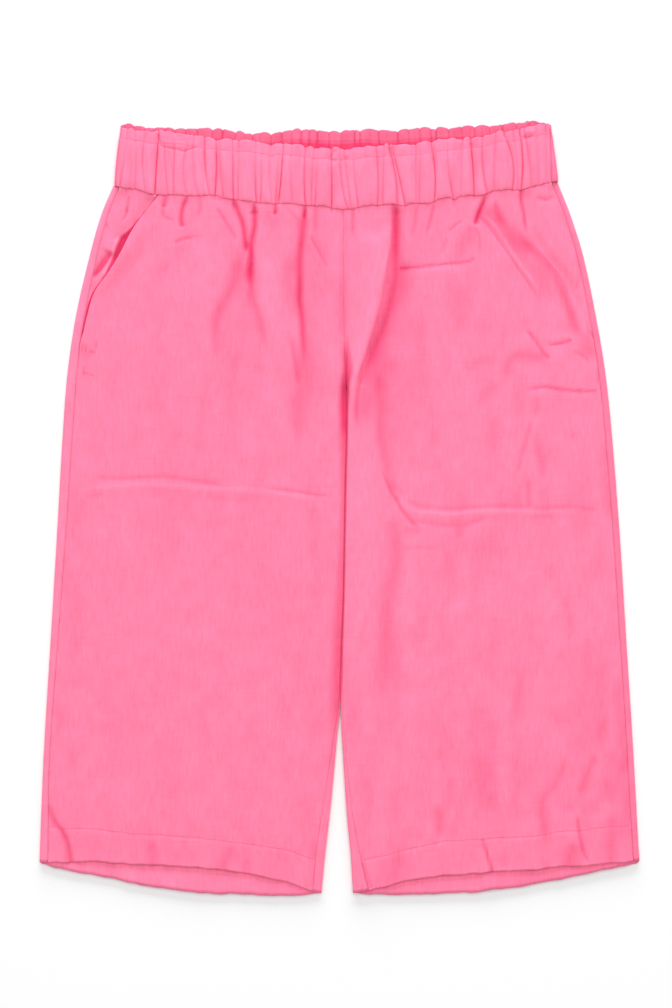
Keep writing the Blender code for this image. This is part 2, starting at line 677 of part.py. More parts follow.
def build_back_leg(leg):
    levels = [(share, False) for share in BACK_ROWS_ABOVE_CROTCH]
    levels += [(share, True) for share in BACK_ROWS_BELOW_CROTCH]
    crotch_row = len(BACK_ROWS_ABOVE_CROTCH) - 1
    narrow = ARC_STEPS + 2 + BACK_FLAT_COLUMNS
    wide = narrow + ARC_STEPS + 1
    outer, inner = {}, {}
    for row, (share, below_crotch) in enumerate(levels):
        wrapped = row >= crotch_row
        for column in range(wide if wrapped else narrow):
            down = mix(FRONT_SEAM(0), LENGTH, row / (len(levels) - 1))
            for _ in range(SETTLE_STEPS):
                point = back_point(leg, column, down, wrapped)
                down = back_level(point, share, below_crotch)
            doubled = in_hem(BACK_HEM(point.x), down) if point.z == 0.0 else 0.0
            outer[row, column] = place(point.x, down, point.z)
            inner[row, column] = place(point.inner_x, down, point.inner_z + doubled * (HEM_CLOTH - CLOTH))
    cells = net_cells(len(levels), narrow)
    for cell in net_cells(len(levels), wide):
        if min(key[0] for key in cell) >= crotch_row and min(key[1] for key in cell) >= narrow - 1:
            cells.append(cell)
    return shell(f"back_leg_{leg.side}", outer, inner, cells, linen(f"back_linen_{leg.side}", LINEN))


def facing_height(leg, down):
    """The pocket facing lies level with the side seam, and sinks towards its lower end."""
    sunk = FACING_SINK * ease((down - FACING_END) / FACING_SINK_REACH + 1)
    sag = FACING_SAG * bell((down - GAPE_MIDDLE) / FACING_SAG_REACH) if leg.side == "left" else 0.0
    return SIDE_HEIGHT - sunk - sag


def build_pocket_facing(leg):
    outer, inner = {}, {}
    for row in range(FACING_ROWS):
        for column in range(FACING_COLUMNS):
            share = column / (FACING_COLUMNS - 1)
            x = leg.sign * POCKET_MIDDLE
            for _ in range(SETTLE_STEPS):
                top = FRONT_SEAM(x) + HALF_GAP
                down = mix(top, FACING_END, row / (FACING_ROWS - 1))
                edge = side_seam(leg, down) - leg.sign * CURVED_GAP
                under = POCKET_EDGE[leg.side](down) - leg.sign * UNDERLAP
                x = mix(edge, under, share)
            height = facing_height(leg, down)
            outer[row, column] = place(x, down, height)
            inner[row, column] = place(x, down, height - CLOTH)
    cells = net_cells(FACING_ROWS, FACING_COLUMNS)
    return shell(f"pocket_facing_{leg.side}", outer, inner, cells, linen(f"facing_linen_{leg.side}", LINEN))


def band_ends():
    """Where the band's rounded sides start: x at the top and foot, with no ripple."""
    left = BAND_TOP_LEFT + BAND_SIDE_RADIUS, BAND_FOOT_LEFT + BAND_SIDE_RADIUS, 0.0
    right = BAND_TOP_RIGHT - BAND_SIDE_RADIUS, BAND_FOOT_RIGHT - BAND_SIDE_RADIUS, 0.0
    return left, right


def front_band_columns():
    """Columns of the band's front: x at the top and foot, and a ripple from -1 to its crest."""
    left, right = band_ends()
    valleys = [(g.top, g.foot, -g.depth) for g in FRONT_GATHERS]
    stops = [left] + valleys + [right]
    columns = [stops[0]]
    for before, after in zip(stops, stops[1:]):
        crest = min(FRONT_CREST_SHARE * (after[0] - before[0]), FRONT_CREST_HIGHEST)
        for share in (1 / 3, 2 / 3):
            columns.append((mix(before[0], after[0], share), mix(before[1], after[1], share), crest))
        columns.append(after)
    return columns


def back_band_columns():
    """Columns of the band's back, from right to left."""
    valleys = [(g.x, g.x, -g.depth) for g in reversed(BACK_GATHERS)]
    left, right = band_ends()
    stops = [right] + valleys + [left]
    columns = [stops[0]]
    for before, after in zip(stops, stops[1:]):
        crest = min(BACK_CREST_SHARE * (before[0] - after[0]), BACK_CREST_HIGHEST)
        columns.append((mix(before[0], after[0], 0.5), mix(before[1], after[1], 0.5), crest))
        columns.append(after)
    return columns


def band_arc(level, top_x, foot_x, sign, step):
    """One column of the band's rounded side, between its front and its back."""
    angle = math.pi / 2 - math.pi * step / ARC_STEPS
    radius = level.front / 2
    inner_radius = (level.inside - level.back) / 2
    middle = (level.inside + level.back) / 2
    x = mix(top_x, foot_x, level.part)
    out = x + sign * radius * math.cos(angle), radius + radius * math.sin(angle)
    into = x + sign * inner_radius * math.cos(angle), middle + inner_radius * math.sin(angle)
    return out, into


def build_waistband():
    """A flattened ring: gathered front, rounded sides, and a back that lies flat."""
    outer, inner = {}, {}
    front, back = front_band_columns(), back_band_columns()
    for row, level in enumerate(BAND_LEVELS):
        frill = ease((HEADING_PART - level.part) / HEADING_PART)
        column = 0
        for top_x, foot_x, ripple in front:
            x = mix(top_x, foot_x, level.part)
            down = mix(FRONT_TOP(x) - frill * ripple * RUFFLE_LIFT, FRONT_SEAM(x) - HALF_GAP, level.part)
            height = level.front + ripple * level.ripple
            inside = min(level.inside, height - BAND_WALL)
            outer[row, column] = place(x, down, height)
            inner[row, column] = place(x, down, inside)
            column += 1
        sides = (
            (front[-1], 1, range(1, ARC_STEPS), back),
            (front[0], -1, range(ARC_STEPS - 1, 0, -1), ()),
        )
        for (top_x, foot_x, _), sign, steps, following in sides:
            for step in steps:
                out, into = band_arc(level, top_x, foot_x, sign, step)
                back_share = step / ARC_STEPS
                top = mix(FRONT_TOP(out[0]), BACK_TOP(out[0]), back_share)
                foot = mix(FRONT_SEAM(out[0]), back_seam(out[0]), back_share) - HALF_GAP
                down = mix(top, foot, level.part)
                outer[row, column] = place(out[0], down, out[1])
                inner[row, column] = place(into[0], down, into[1])
                column += 1
            for top_b, foot_b, ripple in following:
                x = mix(top_b, foot_b, level.part)
                down = mix(BACK_TOP(x) - frill * ripple * RUFFLE_LIFT, back_seam(x) - HALF_GAP, level.part)
                outer[row, column] = place(x, down, 0.0)
                inner[row, column] = place(x, down, level.back + ripple * level.ripple)
                column += 1
    cells = net_cells(len(BAND_LEVELS), column, closed=True)
    return shell("waistband", outer, inner, cells, linen("waistband_linen", LINEN_INSIDE))


def clear_scene():
    for item in list(bpy.data.objects):
        bpy.data.objects.remove(item, do_unlink=True)


def main():
    clear_scene()
    bpy.context.scene.collection.children.link(bpy.data.collections.new(GARMENT))
    build_waistband()
    for leg in LEGS:
        build_back_leg(leg)
        build_front_leg(leg)
        build_pocket_facing(leg)


main()
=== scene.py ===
"""Linen culottes with a gathered waistband, laid flat with the front up.

Each dressed piece of cloth stands in the place of its CAD node. Places on the garment
are in millimetres: x across it from the middle of its width, and down from the top of
the back heading towards the hems. Left is as seen from above, so left is -X.
"""

import itertools
import math
from collections import namedtuple

import bpy
import numpy as np
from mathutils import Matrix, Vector
from mathutils.bvhtree import BVHTree


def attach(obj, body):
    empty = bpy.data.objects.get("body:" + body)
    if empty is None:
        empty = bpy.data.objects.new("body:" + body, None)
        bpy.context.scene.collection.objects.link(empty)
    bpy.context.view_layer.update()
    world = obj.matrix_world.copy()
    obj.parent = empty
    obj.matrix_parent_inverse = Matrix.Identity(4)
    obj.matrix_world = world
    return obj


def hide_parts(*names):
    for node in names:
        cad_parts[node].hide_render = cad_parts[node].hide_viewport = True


bl_info = {
    "name": "Linen culottes",
    "version": (1, 0, 0),
    "blender": (4, 5, 0),
    "location": "3D View > Sidebar > Culottes",
    "description": "Dresses a pair of gathered linen culottes that lie flat",
    "category": "Add Mesh",
}

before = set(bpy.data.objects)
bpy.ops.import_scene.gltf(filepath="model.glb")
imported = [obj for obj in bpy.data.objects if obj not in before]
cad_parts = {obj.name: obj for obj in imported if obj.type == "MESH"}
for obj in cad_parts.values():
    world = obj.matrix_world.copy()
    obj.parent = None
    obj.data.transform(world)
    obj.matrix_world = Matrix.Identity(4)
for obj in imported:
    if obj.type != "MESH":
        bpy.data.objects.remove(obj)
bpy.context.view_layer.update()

MM = 0.001


def table(columns, *rows):
    """A short table whose rows have named columns. A last value that is left out is 1."""
    row = namedtuple("Row", columns, defaults=(1,))
    return tuple(row(*values) for values in rows)


# Main sizes in millimetres. Heights are above the surface that the garment lies on
LENGTH = 740.0
HALF_LENGTH = LENGTH / 2
SEAM_GAP = 0.06
SIDE_HEIGHT = 4.0
CROTCH = 256.0
CROTCH_SPREAD = 6.0
CROTCH_REACH = 28.0
CROTCH_UNDERLAP = 10.0
CENTRE_TOP = 3.5
CENTRE_FLY = 4.7
CENTRE_CROTCH = 6.9
CLOTH_ABOVE_CLOTH = 2.0
PUFF = 1.7
PUFF_REACH = 45.0
WAIST_HEIGHT = 5.7
WAIST_REACH = 9.0
TUCK = 1.6
TUCK_DROP = 0.6
PUCKER = 0.9
POCKET_END = 213.0
FACING_END = 207.0
UNDERLAP = 12.0
HEADING_PART = 0.175
BAND_MIDDLE_PART = 0.6

# Edges of the legs: how they round off at the crotch and at the side, and dip at the side seam
EDGE_ROUNDING = 0.3
ROUNDING_ABOVE = 12.0
ROUNDING_LENGTH = 18.0
SIDE_FADE = 15.0
SIDE_ROUNDING = 0.5
SIDE_ROUNDING_REACH = 3.2
SIDE_ROUNDING_POWER = 2.4
SEAM_DIP = 0.3
SEAM_DIP_REACH = 1.4

# Hems: how far up the panels come down to them, the step at their stitching and its groove, and
# how the back panels lie there and elsewhere
HEM_SLOPE = 46.0
HEM_SIDE_FADE = 30.0
HEM_STEP = 0.35
HEM_GROOVE = 0.4
HEM_STEP_WIDTH = 1.2
HEM_GROOVE_WIDTH = 2.4
BACK_HEM_LIFT = 1.2
BACK_HEM_SLOPE = 24.0
BACK_HEM_DEPTH = 33.0
BACK_STITCH_LINE = 32.0
BACK_REST = 0.3
EDGE_REST = 14.0

# Pockets: where the front covers the facing, how the left one gapes and the right one lies shut,
# and how the facing lies
COVER_START = 4.0
COVER_FADE = 18.0
COVER_BELOW = 14.0
COVER_BELOW_FADE = 16.0
POCKET_CLOSING = 12.0
POCKET_CLOSED = 7.0
GAPE_HEIGHT = 5.7
GAPE_LIFT = 3.0
GAPE_DOWN = 126.0
GAPE_REACH = 40.0
SHUT_HEIGHT = 5.3
SHUT_DIP = 0.5
SHUT_DIP_REACH = 9.0
SHUT_SHARE = 0.9
FACING_FADE = 12.0
FACING_DIP_REACH = 10.0
FACING_SLOPE = 6.0
FACING_UNDER_DIP = 0.5
FACING_END_DIP = 0.8
FACING_LIFT = 4.2

# Gathers below the waist seam: how far they run on, lean and widen
GATHER_RUN = 3.0
GATHER_LEAN = 0.02
LEAN_END = 20.0
GATHER_SPREAD = 1.9
GATHER_WIDENING = 0.05

# Gathers in the band: the levels where their depth is set, how shallow the stitching makes them,
# the widths of their creases, soft sides and painted shade, and the share of the depth in each, then
# the painted shade along each gather, beside it and over the whole front of the band. Below are the
# crests between them, closest together in front, and the painted shade inside the back of the band,
# along its gathers and along its heading stitching
GATHER_LEVELS = (0.0, 0.09, HEADING_PART, 0.3, BAND_MIDDLE_PART, 0.92, 1.0)
STITCHED_SHARE = 0.7
CREASE_WIDTH = 1.5
CREASE_SHARE = 0.7
SIDES_WIDTH = 4.5
SIDES_SHARE = 0.3
GATHER_LINE_SHADE_WIDTH = 0.7
GATHER_LINE_SHADE = 0.56
GATHER_SIDE_SHADE = 0.03
BAND_SHADE_OFFSET = -0.05
FRONT_CREST_STEP = 1.15
BACK_CREST_STEP = 1.9
CREST_PART = 0.085
HIGHEST_CREST = 1.1
FRILL_CREST = 0.7
FRILL_NOTCH = 1.1
FRILL_NOTCH_WIDTH = 2.4
BACK_FRILL_CREST = 0.9
BACK_NOTCH = 1.5
BACK_NOTCH_WIDTH = 2.0
BACK_CREASE_WIDTH = 3.4
BACK_GATHER_SHADE = 1.1
BACK_GATHER_SHADE_WIDTH = 1.3
INSIDE_SHADE = 0.8
INSIDE_HEADING_SHADE = 0.25
HEADING_LINE_SHADE = 0.25

# How far below the waist seam the rows of a front panel lie, and the steps between them
FRONT_LENGTH = 640.0
ROW_STEPS = table("until step", (36, 1.15), (330, 2), (588, 2.75), (FRONT_LENGTH, 1.75))

# The left leg's inner edge sinks under the right leg's, which lies over it, and is shaded there.
# The left leg's side seam gets painted light and the right leg's painted shade, and each pocket facing has
# its own bulge
LEGS = table(
    "side sign inseam_height edge_reach edge_slope fade side_tint facing_bulge facing_dip",
    ("left", -1, 4, 9, 1.5, 16, -0.1, 0.7, 0.5),
    ("right", 1, 5, 2.4, 2.6, 7, 0.1, 1.5, 0.4),
)

# How far the shade beside the line between the legs reaches into each, and how deep it is
EDGE_SHADES = table(
    "down left left_depth right right_depth",
    (200, 3, 0, 2, 0),
    (218, 6, 0.55, 5, 0.45),
    (237, 6.5, 0.7, 9, 0.7),
    (250, 9, 0.9, 5, 0.9),
    (265, 10.5, 0.95, 3.8, 0.8),
    (278, 10.5, 0.95, 2, 0.6),
    (290, 10.5, 0.9, 1.4, 0.2),
    (304, 10, 0.6, 1.2, 0),
    (361, 7, 0.35, 1.2, 0),
    (418, 9.5, 0.38, 1.2, 0),
    (495, 13.5, 0.48, 1.2, 0),
    (550, 13.5, 0.48, 1.2, 0),
    (585, 9, 0.22, 1.2, 0),
    (640, 6, 0.1, 1.2, 0),
    (740, 4, 0.05, 1.2, 0),
)
# The painted shadow line right where the legs meet, where it ends, and the width of the painted shade in
# the waist seam
EDGE_SHADOW_LINE = 1.6
EDGE_SHADOW_LINE_END = 560.0
SEAM_SHADE = 1.1

# How far the shade in each pocket reaches from the edge of its opening
OPENING_SHADES = table(
    "down left right",
    (64, 1.2, 0.6),
    (97, 2, 0.6),
    (103, 5, 0.6),
    (109, 9.5, 0.6),
    (117, 9.5, 0.6),
    (127, 8, 0.6),
    (134, 6.5, 0.6),
    (147, 2, 0.6),
    (158, 2.6, 0.6),
    (175, 3.2, 0.6),
    (194, 2.4, 0.6),
    (208, 2, 0.6),
)

# How strong the painted shade of faint crumples is down each leg, with a little painted light on their
# rises
CRUMPLE_SHADES = table(
    "down left right",
    (60, 0.064, 0.064),
    (200, 0.085, 0.1),
    (340, 0.055, 0.09),
    (520, 0.04, 0.104),
    (640, 0.064, 0.136),
    (740, 0.072, 0.144),
)

OUTLINE = table(
    "down left right",
    (61, -215.6, 209.2),
    (88, -227, 220),
    (127, -238.1, 232.2),
    (184, -251.2, 244.3),
    (240, -259.5, 253.7),
    (299, -264.1, 259.9),
    (395, -269.6, 267.4),
    (490, -275.3, 273.3),
    (600, -282, 280.2),
    (681, -285.4, 284.7),
    (708, -286.3, 286.3),
)

# Inner edge of each leg below the crotch
INNER = table(
    "down left right",
    (256, 6.95, 6.98),
    (300, 7.1, 7.14),
    (349, 5.8, 5.9),
    (457, 3.9, 4),
    (495, 2.5, 2.6),
    (550, 1.2, 1.3),
    (566, 0, 1.5),
    (585, -2.1, 2.2),
    (624, -5.6, 4.5),
    (662, -9.4, 7.1),
    (700, -13.8, 10.7),
    (740, -17.7, 13.1),
)

# How far the back panels come round to the front at the side seams and inseams
TURN = table(
    "down left_side right_side left_inseam right_inseam",
    (61, 6.5, 6, 0.5, 0.4),
    (209, 8.7, 6.5, 0.5, 0.4),
    (300, 9.4, 6.5, 0.5, 0.4),
    (500, 7, 6, 0.5, 0.4),
    (577, 6, 5.8, 2.2, 1.8),
    (635, 6, 5.8, 6, 4),
    (690, 7.8, 5.8, 8.4, 7.5),
    (735, 8.5, 5.8, 8.6, 15.5),
)

# Slanted pocket openings
SLANT = table(
    "down left right",
    (66, -169, 174),
    (88, -186.6, 176.8),
    (104, -197.8, 180.2),
    (128, -210.1, 195),
    (144, -220.3, 208.8),
    (163, -233.6, 221.5),
    (187, -241, 234),
    (213, -246.6, 239.9),
)

# Waistband edges, each as places (x, down) from left to right
SEAM_LINE = (
    (-214.9, 61.1), (-208.7, 63), (-193.4, 64.9), (-178.1, 69.7), (-160, 70.1), (-134.2, 70.7),
    (-117, 70.7), (-108.4, 73.5), (-85.5, 76), (-77.8, 77.4), (-60.6, 78.3), (-47.3, 78.3), (-32, 80.2),
    (-14.8, 80.7), (-5.3, 83.1), (7.2, 83.7), (17.7, 82.1), (28.6, 79.8), (36.8, 80.2), (50.1, 78.8),
    (61.6, 80.7), (66.4, 78.3), (77.8, 78.3), (88.3, 77.4), (92.6, 74.5), (105.5, 72.6), (108.4, 74.5),
    (117.9, 70.7), (135.1, 70.7), (145.2, 66.8), (160.9, 64.9), (172.9, 65.3), (184.8, 62.1),
    (200.5, 58.3), (207.7, 57.3),
)
FRONT_TOP_LINE = (
    (-209.6, 5.7), (-199.1, 7.6), (-184.8, 9.5), (-179.1, 11.5), (-172.4, 9.5), (-166.6, 10.5),
    (-151.4, 11.5), (-138, 14.3), (-125.6, 16.2), (-111.3, 18.1), (-90.2, 19.1), (-75.9, 20.1),
    (-63.5, 23.9), (-59.7, 22), (-42.5, 22.9), (-21.5, 25.8), (-5.3, 26.2), (13.8, 26.2), (32.9, 23.9),
    (49.2, 22.9), (71.1, 22), (85.5, 20.1), (103.6, 18.1), (121.8, 16.2), (140.9, 13.8), (149.5, 10.5),
    (165.7, 8.6), (181.9, 4.8), (199.1, 2.4), (202.9, 4.8),
)
BACK_TOP_LINE = (
    (-210.6, 5.7), (-205.8, 2.9), (-182.9, 5.7), (-148.5, 6.7), (-125.6, 6.9), (-114.1, 7.6),
    (-91.2, 10.5), (-68.3, 11.5), (-56.8, 9.5), (-45.4, 7.6), (-22.4, 8.6), (0.5, 9.5), (23.4, 8.1),
    (46.3, 9.6), (69.2, 7.1), (103.6, 6), (126.5, 5.2), (149.5, 3.9), (172.4, 1.7), (183.8, 0),
    (195.3, 1.9), (202.9, 5.7),
)
BACK_SEAM_DIP = 5.0
BAND_TOP = (-207.6, 200.8)
BAND_MIDDLE = (-210.6, 203.8)
BAND_FOOT = (-212.4, 206.2)

# Gathers of the front waistband: their x at the heading, at mid height and at the seam,
# their depths there, how far they run on into the leg, and the width of the crease
FRONT_GATHERS = table(
    "top middle foot heading upper lower reach width",
    (-202.5, -205.8, -209.2, 0.5, 0.2, 0.9, 0, 1.6),
    (-194.3, -193.9, -195.3, 0.4, 0.2, 0.5, 0, 2.2),
    (-186.3, -187.7, -184.8, 0.6, 0.7, 0.5, 0, 2),
    (-172.8, -174.7, -176, 0.9, 1.9, 2.1, 6, 1.7),
    (-166.8, -165.7, -163.8, 0, 0.6, 0.7, 8, 1.8),
    (-156.7, -157.9, -158.1, 0, 0.6, 0.9, 10, 1.6),
    (-144.7, -148.9, -145.6, 0, 0.5, 0.4, 20, 3.5),
    (-139.4, -139, -135.6, 0.2, 0.3, 0.3, 12, 2.5),
    (-128.6, -127.5, -124.1, 1.2, 1.4, 0.5, 8, 1.7),
    (-117.4, -117.4, -118.7, 0.8, 1.7, 1.8, 6, 1.5),
    (-114.6, -113.2, -110.7, 0.2, 0.4, 0.6, 14, 2.5),
    (-101.7, -101.5, -101.3, 0.6, 1, 1.5, 16, 1.8),
    (-96.4, -96.9, -96.5, 0.8, 0.2, 0.8, 10, 2),
    (-80.1, -80.3, -79.2, 0.7, 0.5, 1.3, 0, 1.5),
    (-74, -74.5, -75.3, 0.2, 0.2, 1.2, 0, 1.5),
    (-65.9, -66.4, -64.5, 0.4, 0.4, 0.3, 12, 3),
    (-54, -55.9, -58.4, 1, 1.5, 1.7, 0, 1.5),
    (-57.8, -59.2, -60.7, 0, 0.1, 1, 12, 1.5),
    (-46.3, -46.5, -44.9, 0.2, 0.2, 0.5, 10, 2.5),
    (-33.1, -33.7, -32.4, 0.9, 0.9, 1.5, 24, 1.6),
    (-24.7, -26.3, -26.7, 0.5, 0.4, 0.9, 8, 1.6),
    (-20.5, -22.4, -23.1, 0.2, 0.2, 1, 6, 1.5),
    (-7.5, -7.4, -7.4, 0.9, 0.9, 1.8, 6, 1.6),
    (1, 2.4, 7.7, 0.3, 0.6, 0.9, 6, 2.2),
    (5.3, 8.1, 11, 0.2, 0.5, 0.6, 0, 2.5),
    (12.9, 15.3, 18, 0.2, 0.4, 1.1, 8, 1.6),
    (35.6, 36.8, 36.2, 0.7, 1, 1.2, 10, 1.5),
    (42.1, 41.5, 41.5, 0.2, 0.3, 0.8, 10, 2),
    (49.2, 54, 54.9, 0.9, 1.2, 1.1, 6, 3.2),
    (51.9, 57.8, 62.6, 0.5, 1.3, 1.3, 8, 1.6),
    (72.6, 72.8, 73.1, 0.6, 0.4, 0.3, 12, 2.2),
    (76.9, 76.4, 76.3, 0, 0.2, 0.7, 12, 2),
    (88.7, 91.2, 90.4, 0.9, 1.7, 1.6, 6, 1.4),
    (102.7, 104.4, 108.6, 0.3, 0.4, 1.1, 10, 1.8),
    (117, 116, 116, 0.5, 0.3, 0.3, 10, 2.5),
    (125.6, 127.4, 128.4, 1.1, 1.7, 1.6, 8, 1.5),
    (135.9, 137, 140.9, 0.5, 1, 1, 16, 3),
    (148.5, 147.7, 147.5, 0.4, 0.5, 0.4, 8, 3),
    (159.6, 165.7, 164.7, 1, 1.3, 1.2, 8, 2),
    (166.6, 169, 169.5, 0.6, 0.3, 0.6, 0, 2),
    (172.8, 174.7, 173.1, 1.2, 1.6, 1.8, 26, 1.7),
    (177.2, 181, 182.9, 0.5, 0.7, 0.4, 0, 2.5),
    (187.7, 188.6, 189.6, 0.3, 0.2, 0.3, 0, 3),
    (196.5, 196.8, 197.2, 0.8, 0.3, 0.4, 0, 2),
    (201, 201.6, 201.8, 0.3, 0.9, 1, 0, 1.4),
)

# Gathers of the back waistband from left to right, whose depths come round again
BACK_DEPTHS = (0.5, 0.3, 0.8, 0.4, 0.6, 0.9, 0.4, 0.7, 0.5, 1.0)
BACK_PLACES = (
    -205.8, -197.2, -185.7, -177.2, -166.6, -158.1, -147.5, -136.1, -121.8, -112.2, -99.8, -90.2, -83.1,
    -75.9, -65.4, -54.9, -45.4, -36.8, -29.1, -21.5, -10, 1.4, 14.8, 19.6, 37.7, 55.9, 66.4, 76.9, 87.4,
    92.2, 104.6, 117, 129.4, 140.9, 143.7, 156.1, 169.5, 181.9, 192.4,
)
BACK_GATHERS = table("x depth", *zip(BACK_PLACES, itertools.cycle(BACK_DEPTHS)))

# Waistband levels from its top edge (0) to its seam (1): height of the front's face,
# how strongly the gathers show there, and the height of the back's underside
BAND_LEVELS = table(
    "part front ripple back",
    (0, 6.6, 1, 1.3),
    (0.08, 6.8, 1, 1.1),
    (0.155, 6.75, 0.9, 0.8),
    (0.175, 6.7, 0.8, 0.5),
    (0.195, 6.85, 0.9, 0.5),
    (0.3, 7.1, 1, 0.5),
    (0.58, 7.1, 1, 0.5),
    (0.88, 6.8, 1, 0.4),
    (0.96, 6.4, 1, 0.3),
    (1, 5.9, 0.8, 0.2),
)

# How many rows of the net there are down the band to each level
BAND_ROWS = table("part count", (HEADING_PART, 15), (0.3, 9), (0.86, 20), (1.0, 10))

# Uneven patterns: size across and down the cloth, seed of the draw, and how much each adds
UNEVEN = {
    row.name: row for row in table(
        "name across along seed amount",
        ("rumples", 42, 70, 3, 0.42),
        ("small rumples", 17, 48, 5, 0.22),
        ("fine rumples", 4.2, 34, 11, 0.05),
        ("back rumples", 48, 80, 17, 0.3),
        ("facing rumples", 15, 22, 23, 0.3),
        ("band rumples", 13, 40, 31, 0.3),
        ("small band rumples", 5, 26, 37, 0.16),
        ("back band rumples", 11, 30, 41, 1),
        ("front frill", 4.5, 9, 43, 1.2),
        ("back frill", 5, 9, 53, 1.1),
        ("band tone", 5, 30, 47, 0.1),
        ("back band tone", 4, 30, 59, 0.12),
        # The next three patterns make the painted shade of faint crumples
        ("tone", 13, 52, 61, 1),
        ("large tone", 29, 90, 67, 0.7),
        ("slanted tone", 8, 34, 71, 0.5),
        ("puckers", 2.4, 9, 89, 1),
        ("tucks", 2.2, 9, 113, 0.6),
        ("front hem", 9, 9, 97, 1),
        ("long front hem", 23, 9, 101, 1),
        ("back hem", 7, 9, 103, 1),
        ("long back hem", 19, 9, 107, 1),
    )
}

# Painted shade on the back panels: in hollows, and a painted shadow under the front's hem. The rim
# at their hem is painted lighter, they are painted darker where they are turned to the front, and the
# left side seam gets painted light and the right one painted shade this far out from the middle
BACK_HOLLOWS = 0.1
UNDER_HEM_SHADE = 0.3
HEM_RIM_LIGHT = 0.2
TURNED_ABOVE = 1.5
AT_SIDE = 150.0

# Share of a fold's height in its soft skirt, and how much wider than its core that is
SKIRT_SHARE = 0.42
SKIRT_SPREAD = 2.8
SHORTEST_FADE = 0.5

# How much wider than a soft fold's core its painted shade is, how narrow its ends are, and the painted
# shade of open cloth, which is a little deeper than on the top of a ridge
SHADE_SPREAD = 2.0
TAPER = 0.45
OPEN_SHADE = 0.10

# How much painted shade deepens the colour in hollows of each breadth, from wide to narrow
HOLLOWS = table("passes weight", (90, 0.03), (24, 0.065), (5, 0.22))
